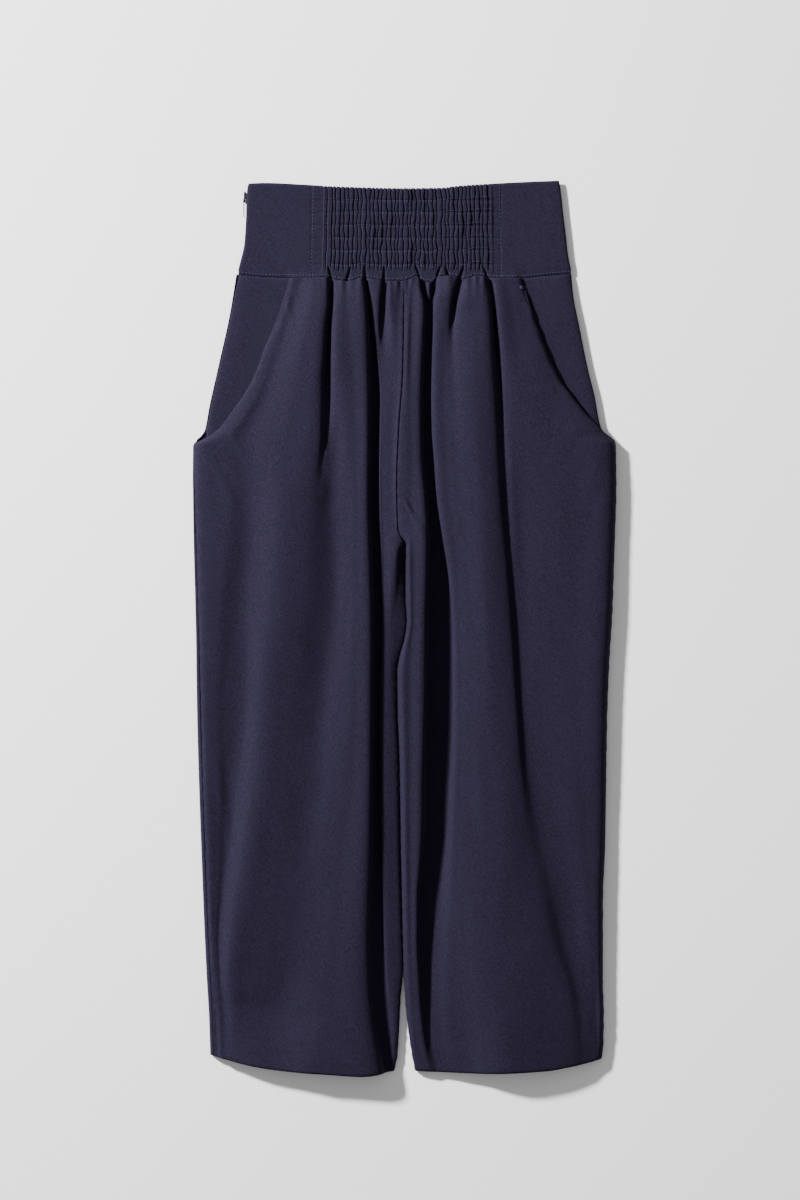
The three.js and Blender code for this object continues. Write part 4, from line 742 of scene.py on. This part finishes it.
def back_band():
    t = np.linspace(1, 0, BACK_BAND_ROWS)
    y = WAIST_Y + t * (band_top(0) - WAIST_Y)
    right, left = band_right(y + 4 * t), band_left(y + 4 * t)
    high = BAND_UNDER - SEAM_GAP
    columns = [(left - inset, share * high) for inset, _, share in CURL]
    columns += [(np.full(BACK_BAND_ROWS, x), 0.0) for x in np.linspace(140, -140, 29)]
    columns += [(right + 6, 0.0), (right, 0.0)]
    grid = []
    for x, z in columns:
        low = waist_wave(x) + SEAM_GAP / 2
        grid.append(np.stack([x, low + t * (band_top(x) - 2 - low), np.full(BACK_BAND_ROWS, z)], -1))
    grid = np.stack(grid, 1)
    return cloth_shell("waistband_back_cloth", grid, np.full(grid.shape[:2], BAND_WALL), 0)


waistband_back = back_band()


# Stitches


def stitches(name, runs, radius, sides=6):
    """Sewing thread: each run is the points of one stitch, drawn as a small closed tube."""
    points, quads = [], []
    angle = np.arange(sides) * 2 * math.pi / sides
    for run in runs:
        run = np.asarray(run, float)
        along = np.gradient(run, axis=0)
        along /= np.linalg.norm(along, axis=1, keepdims=True)
        up = np.array([0, 0, 1.0])
        aside = np.cross(along, up)
        aside /= np.maximum(np.linalg.norm(aside, axis=1, keepdims=True), 1e-6)
        top = np.cross(aside, along)
        size = radius * np.sin(np.linspace(0.12, math.pi - 0.12, len(run))) ** 0.5
        rings = run[:, None] + size[:, None, None] * (
            np.cos(angle)[None, :, None] * aside[:, None] + np.sin(angle)[None, :, None] * top[:, None]
        )
        base = sum(len(p) for p in points)
        points.append(rings.reshape(-1, 3))
        ring = base + np.arange(len(run) * sides).reshape(len(run), sides)
        a, b = ring[:-1], ring[1:]
        quads.append(np.stack([a, np.roll(a, -1, 1), np.roll(b, -1, 1), b], -1).reshape(-1, 4))
        # the two ends, each closed by quads across the ring
        for end, flip in ((ring[0], True), (ring[-1], False)):
            for j in range(sides // 2 - 1):
                quad = [end[j], end[j + 1], end[sides - 2 - j], end[sides - 1 - j]]
                quads.append(np.array([quad[::-1] if flip else quad]))
    return mesh_object(name, np.concatenate(points) * MM, np.concatenate(quads))


THREAD = 0.28  # drawn a little thicker than real sewing thread, so that it shows
WAIST_STITCH = 3.1  # from one stitch of the waist seam to the next
THIRD_WIDTHS = (80, 168, 80)  # of the waist seam's thirds, rounded
PLAIN_WIDTHS = (77, 72)  # of the plain ends beside the gathers, right and left
COLUMN_STITCHES = 26  # up the waistband, where the rows of elastic end


def stitch_on_band(u0, u1, t0, t1, lift=0.1):
    s = np.linspace(0, 1, 5)
    p = band_surface(u0 + s * (u1 - u0), t0 + s * (t1 - t0))
    p[:, 2] += lift + 0.2 * np.sin(math.pi * s)
    return p


def waist_topstitch():
    runs = []
    for third, width in enumerate(THIRD_WIDTHS):
        count = int(width / WAIST_STITCH)
        for i in range(count):
            u0 = third + (i + 0.1) / count
            runs.append(stitch_on_band(u0, u0 + 0.68 / count, 0.024, 0.024))
    return runs


def elastic_stitches():
    runs = []
    for at in ELASTIC_Y:
        t = (at - WAIST_Y) / (float(band_top(0)) - WAIST_Y)
        for k in range(GATHERS):
            for part in (0.18, 0.6):
                u0 = 1 + (k + part) / GATHERS
                runs.append(stitch_on_band(u0, u0 + 0.26 / GATHERS, t, t, 0.0))
    for u in (1 - ROWS_BEYOND[0] / PLAIN_WIDTHS[0], 2 + ROWS_BEYOND[1] / PLAIN_WIDTHS[1]):
        for i in range(COLUMN_STITCHES):
            t0 = (i + 0.25) / COLUMN_STITCHES
            runs.append(stitch_on_band(u, u, t0, t0 + 0.55 / COLUMN_STITCHES))
    return runs


topstitch = stitches("waist_seam_stitches", waist_topstitch(), THREAD)
elastic = stitches("elastic_stitches", elastic_stitches(), THREAD * 0.85)


def bar_tack():
    """Short close stitches that hold the left pocket's mouth, just under the waist seam."""
    rows = [339.6 + 0.6 * i for i in range(5)]
    return [[[114.8, y, 8.8], [117.2, y + 0.1, 8.5], [119.8, y, 7.1]] for y in rows]


tack = stitches("left_pocket_bar_tack", bar_tack(), THREAD)


# Materials


def linear(hex_colour):
    """An sRGB hex colour as linear RGBA."""
    channels = [int(hex_colour[i : i + 2], 16) / 255 for i in (1, 3, 5)]
    return [c / 12.92 if c <= 0.04045 else ((c + 0.055) / 1.055) ** 2.4 for c in channels] + [1.0]


def per_metre(millimetres):
    """Texture scale for a pattern that repeats every so many millimetres."""
    return 1000 / millimetres


def add(tree, kind, inputs=(), **settings):
    """Adds one node with its settings. Each input is a plain value or another node's output."""
    made = tree.nodes.new(kind)
    for name, value in settings.items():
        setattr(made, name, value)
    for socket, value in dict(inputs).items():
        if isinstance(value, bpy.types.NodeSocket):
            tree.links.new(value, made.inputs[socket])
        else:
            made.inputs[socket].default_value = value
    return made


def new_material(name, surface):
    """A material with one principled shader, whose plain values are given by name, and the place on
    the object that its patterns are laid by."""
    material = bpy.data.materials.new(name)
    material.use_nodes = True
    tree = material.node_tree
    tree.nodes.clear()
    shader = add(tree, "ShaderNodeBsdfPrincipled", surface)
    out = add(tree, "ShaderNodeOutputMaterial", {"Surface": shader.outputs[0]})
    place = add(tree, "ShaderNodeTexCoord").outputs["Object"]
    return material, tree, shader, place


def crepe_suiting():
    """Polyester and viscose crepe suiting, woven from hard-twisted yarn and piece-dyed navy: matt, with a
    pebbled grain, a faint broken twill line and a thin bloom of loose fibre that lightens it at its edges."""
    material, tree, shader, place = new_material("crepe_suiting_piece_dyed_navy", {
        "Roughness": 0.86, "IOR": 1.47, "Specular IOR Level": 0.12,
        "Sheen Weight": 0.05, "Sheen Roughness": 0.45, "Sheen Tint": linear("#8a88a8"),
    })
    # Crepe grain is about 0.4 mm. It is drawn at 1.1 mm, because a pixel is 1 mm.
    grain = add(tree, "ShaderNodeTexNoise", {
        "Vector": place, "Scale": per_metre(1.1), "Detail": 2.0, "Roughness": 0.6,
    })
    # The twill line is about 0.5 mm wide. It is drawn at 2.2 mm for the same reason.
    slanted = add(tree, "ShaderNodeMapping", {
        "Vector": place, "Rotation": (0, 0, math.radians(38)), "Scale": (1, 4, 1),
    }, vector_type="TEXTURE")
    twill = add(tree, "ShaderNodeTexNoise", {
        "Vector": slanted.outputs[0], "Scale": per_metre(2.2), "Detail": 2.0,
    })
    # Dye takes a little unevenly over spans of about 60 mm.
    dye = add(tree, "ShaderNodeTexNoise", {"Vector": place, "Scale": per_metre(60), "Detail": 2.0})
    mixed = add(tree, "ShaderNodeMath", {
        0: grain.outputs[0], 1: 7.0, 2: twill.outputs[0],
    }, operation="MULTIPLY_ADD")
    mixed = add(tree, "ShaderNodeMath", {
        0: dye.outputs[0], 1: 0.4, 2: mixed.outputs[0],
    }, operation="MULTIPLY_ADD")
    share = add(tree, "ShaderNodeMapRange", {"Value": mixed.outputs[0], "From Min": 3.7, "From Max": 4.75})
    colour = add(tree, "ShaderNodeMix", {
        "Factor": share.outputs[0], "A": linear("#120f1c"), "B": linear("#1d182b"),
    }, data_type="RGBA")
    tree.links.new(colour.outputs["Result"], shader.inputs["Base Color"])
    height = add(tree, "ShaderNodeMath", {0: grain.outputs[0], 1: twill.outputs[0]}, operation="ADD")
    bump = add(tree, "ShaderNodeBump", {"Height": height.outputs[0], "Strength": 0.5, "Distance": 0.00035})
    tree.links.new(bump.outputs[0], shader.inputs["Normal"])
    return material


def sewing_thread():
    """Corespun polyester sewing thread, two plies twisted together and dyed navy: rounder and a little
    shinier than the cloth, so it catches the light in small dashes."""
    material, tree, shader, place = new_material("corespun_thread_navy", {
        "Roughness": 0.6, "IOR": 1.5, "Specular IOR Level": 0.3,
    })
    # The two plies together take about 0.6 mm along the thread.
    plies = add(tree, "ShaderNodeTexNoise", {"Vector": place, "Scale": per_metre(0.6), "Detail": 1.0})
    colour = add(tree, "ShaderNodeMix", {
        "Factor": plies.outputs[0], "A": linear("#28263c"), "B": linear("#423f5e"),
    }, data_type="RGBA")
    tree.links.new(colour.outputs["Result"], shader.inputs["Base Color"])
    bump = add(tree, "ShaderNodeBump", {"Height": plies.outputs[0], "Strength": 0.4, "Distance": 0.0001})
    tree.links.new(bump.outputs[0], shader.inputs["Normal"])
    return material


def woven_tape():
    """Polyester zip tape and coil, woven narrow and dyed black-navy: fine herringbone ribs, with the nylon
    coil of the closed zip as a row of small teeth down its middle."""
    material, tree, shader, place = new_material("woven_zip_tape_black_navy", {"Roughness": 0.7, "IOR": 1.5})
    # Ribs of the tape are 0.6 mm apart, and the coil's turns 1.3 mm. Both are drawn about six times
    # wider, at 3.8 and 8.2 mm, because a pixel is 1 mm.
    ribs = add(tree, "ShaderNodeTexWave", {
        "Vector": place, "Scale": per_metre(0.6) / 20, "Distortion": 0.4,
    }, bands_direction="X")
    turns = add(tree, "ShaderNodeTexWave", {
        "Vector": place, "Scale": per_metre(1.3) / 20,
    }, bands_direction="Y")
    both = add(tree, "ShaderNodeMath", {
        0: ribs.outputs["Fac"], 1: turns.outputs["Fac"],
    }, operation="MULTIPLY")
    colour = add(tree, "ShaderNodeMix", {
        "Factor": both.outputs[0], "A": linear("#16151f"), "B": linear("#2f2d40"),
    }, data_type="RGBA")
    tree.links.new(colour.outputs["Result"], shader.inputs["Base Color"])
    bump = add(tree, "ShaderNodeBump", {"Height": both.outputs[0], "Strength": 0.6, "Distance": 0.0003})
    tree.links.new(bump.outputs[0], shader.inputs["Normal"])
    return material


def lacquered_zinc(name, dark, light, roughness):
    """Die-cast zinc under a dark tinted lacquer: soft metallic glints, rubbed lighter where it is handled."""
    material, tree, shader, place = new_material(name, {"Metallic": 1.0, "Roughness": roughness})
    # Rubbed patches are about 2 mm across, casting grain about 0.3 mm.
    rubbed = add(tree, "ShaderNodeTexNoise", {"Vector": place, "Scale": per_metre(2), "Detail": 2.0})
    cast = add(tree, "ShaderNodeTexNoise", {"Vector": place, "Scale": per_metre(0.3), "Detail": 1.0})
    edge = add(tree, "ShaderNodeMapRange", {"Value": rubbed.outputs[0], "From Min": 0.45, "From Max": 0.7})
    colour = add(tree, "ShaderNodeMix", {
        "Factor": edge.outputs[0], "A": linear(dark), "B": linear(light),
    }, data_type="RGBA")
    tree.links.new(colour.outputs["Result"], shader.inputs["Base Color"])
    bump = add(tree, "ShaderNodeBump", {"Height": cast.outputs[0], "Strength": 0.3, "Distance": 0.0001})
    tree.links.new(bump.outputs[0], shader.inputs["Normal"])
    return material


suiting = crepe_suiting()
thread = sewing_thread()
tape = woven_tape()
slider_metal = lacquered_zinc("lacquered_zinc_slider", "#25232c", "#55525d", 0.38)
pull_metal = lacquered_zinc("lacquered_zinc_pull", "#2a2831", "#65626d", 0.34)

cloths = [
    # piece, the nodes that it stands for, cut size in metres, cut area, how it lies, on what
    (right_front, ["right_front"], (0.255, 0.81), 0.175, "laid", ["right_back", "right_pocket_facing"]),
    (left_front, ["left_front"], (0.265, 0.81), 0.182, "laid", ["left_back", "left_pocket_facing"]),
    (right_back, ["right_back"], (0.24, 0.81), 0.165, "laid", ["floor"]),
    (left_back, ["left_back"], (0.24, 0.81), 0.165, "laid", ["floor"]),
    (right_facing, ["right_pocket_facing"], (0.085, 0.2), 0.0125, "laid", ["right_back"]),
    (left_facing, ["left_pocket_facing"], (0.08, 0.2), 0.0115, "laid", ["left_back"]),
    (waistband_front, ["waistband_front"], (0.45, 0.095), 0.038, "gathered", ["waistband_back"]),
    (waistband_back, ["waistband_back"], (0.33, 0.095), 0.03, "laid", ["floor"]),
]
for piece, stood_for, *_ in cloths:
    piece.data.materials.append(suiting)
    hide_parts(*stood_for)
    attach(piece, "root")
for piece in (topstitch, elastic, tack):
    piece.data.materials.append(thread)
    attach(piece, "root")
for name, material in (("zip_tape", tape), ("zip_slider", slider_metal), ("zip_pull", pull_metal)):
    for slot in nodes[name].material_slots:
        slot.material = material


# Table, light and camera


def tabletop():
    """Smooth matt white laminate, a plain pale floor under the cloth."""
    material, tree, shader, place = new_material("white_laminate_table", {
        "Roughness": 0.9, "Specular IOR Level": 0.1,
    })
    uneven = add(tree, "ShaderNodeTexNoise", {"Vector": place, "Scale": per_metre(400)})
    colour = add(tree, "ShaderNodeMix", {
        "Factor": uneven.outputs[0], "A": linear("#f8f8fa"), "B": linear("#fcfcfd"),
    }, data_type="RGBA")
    tree.links.new(colour.outputs["Result"], shader.inputs["Base Color"])
    half, below = 6, -0.0002
    corners = np.array([
        [-half, -half, below], [half, -half, below], [half, half, below], [-half, half, below],
    ])
    floor = mesh_object("floor", corners, np.array([[0, 1, 2, 3]]))
    floor.data.materials.append(material)


tabletop()
for piece, _, flat, area, held, under in cloths:
    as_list(under)

key = bpy.data.lights.new("window_light", "AREA")
key.shape = "DISK"
key.size = 0.4
key.energy = 680
key_light = bpy.data.objects.new("window_light", key)
key_light.location = (-2.859, 2.004, 1.74)
key_light.rotation_euler = (-key_light.location).to_track_quat("-Z", "Y").to_euler()
bpy.context.scene.collection.objects.link(key_light)

world = bpy.data.worlds.new("studio")
world.use_nodes = True
world.node_tree.nodes["Background"].inputs["Color"].default_value = (0.99, 0.97, 0.98, 1)
world.node_tree.nodes["Background"].inputs["Strength"].default_value = 0.42
bpy.context.scene.world = world

camera = bpy.data.objects.new("camera", bpy.data.cameras.new("camera"))
camera.data.lens = 120
camera.data.sensor_width = 36
camera.data.clip_end = 50
camera.location = (-0.0046, 0.028, 4.01)
bpy.context.scene.collection.objects.link(camera)
bpy.context.scene.camera = camera

bpy.context.view_layer.update()
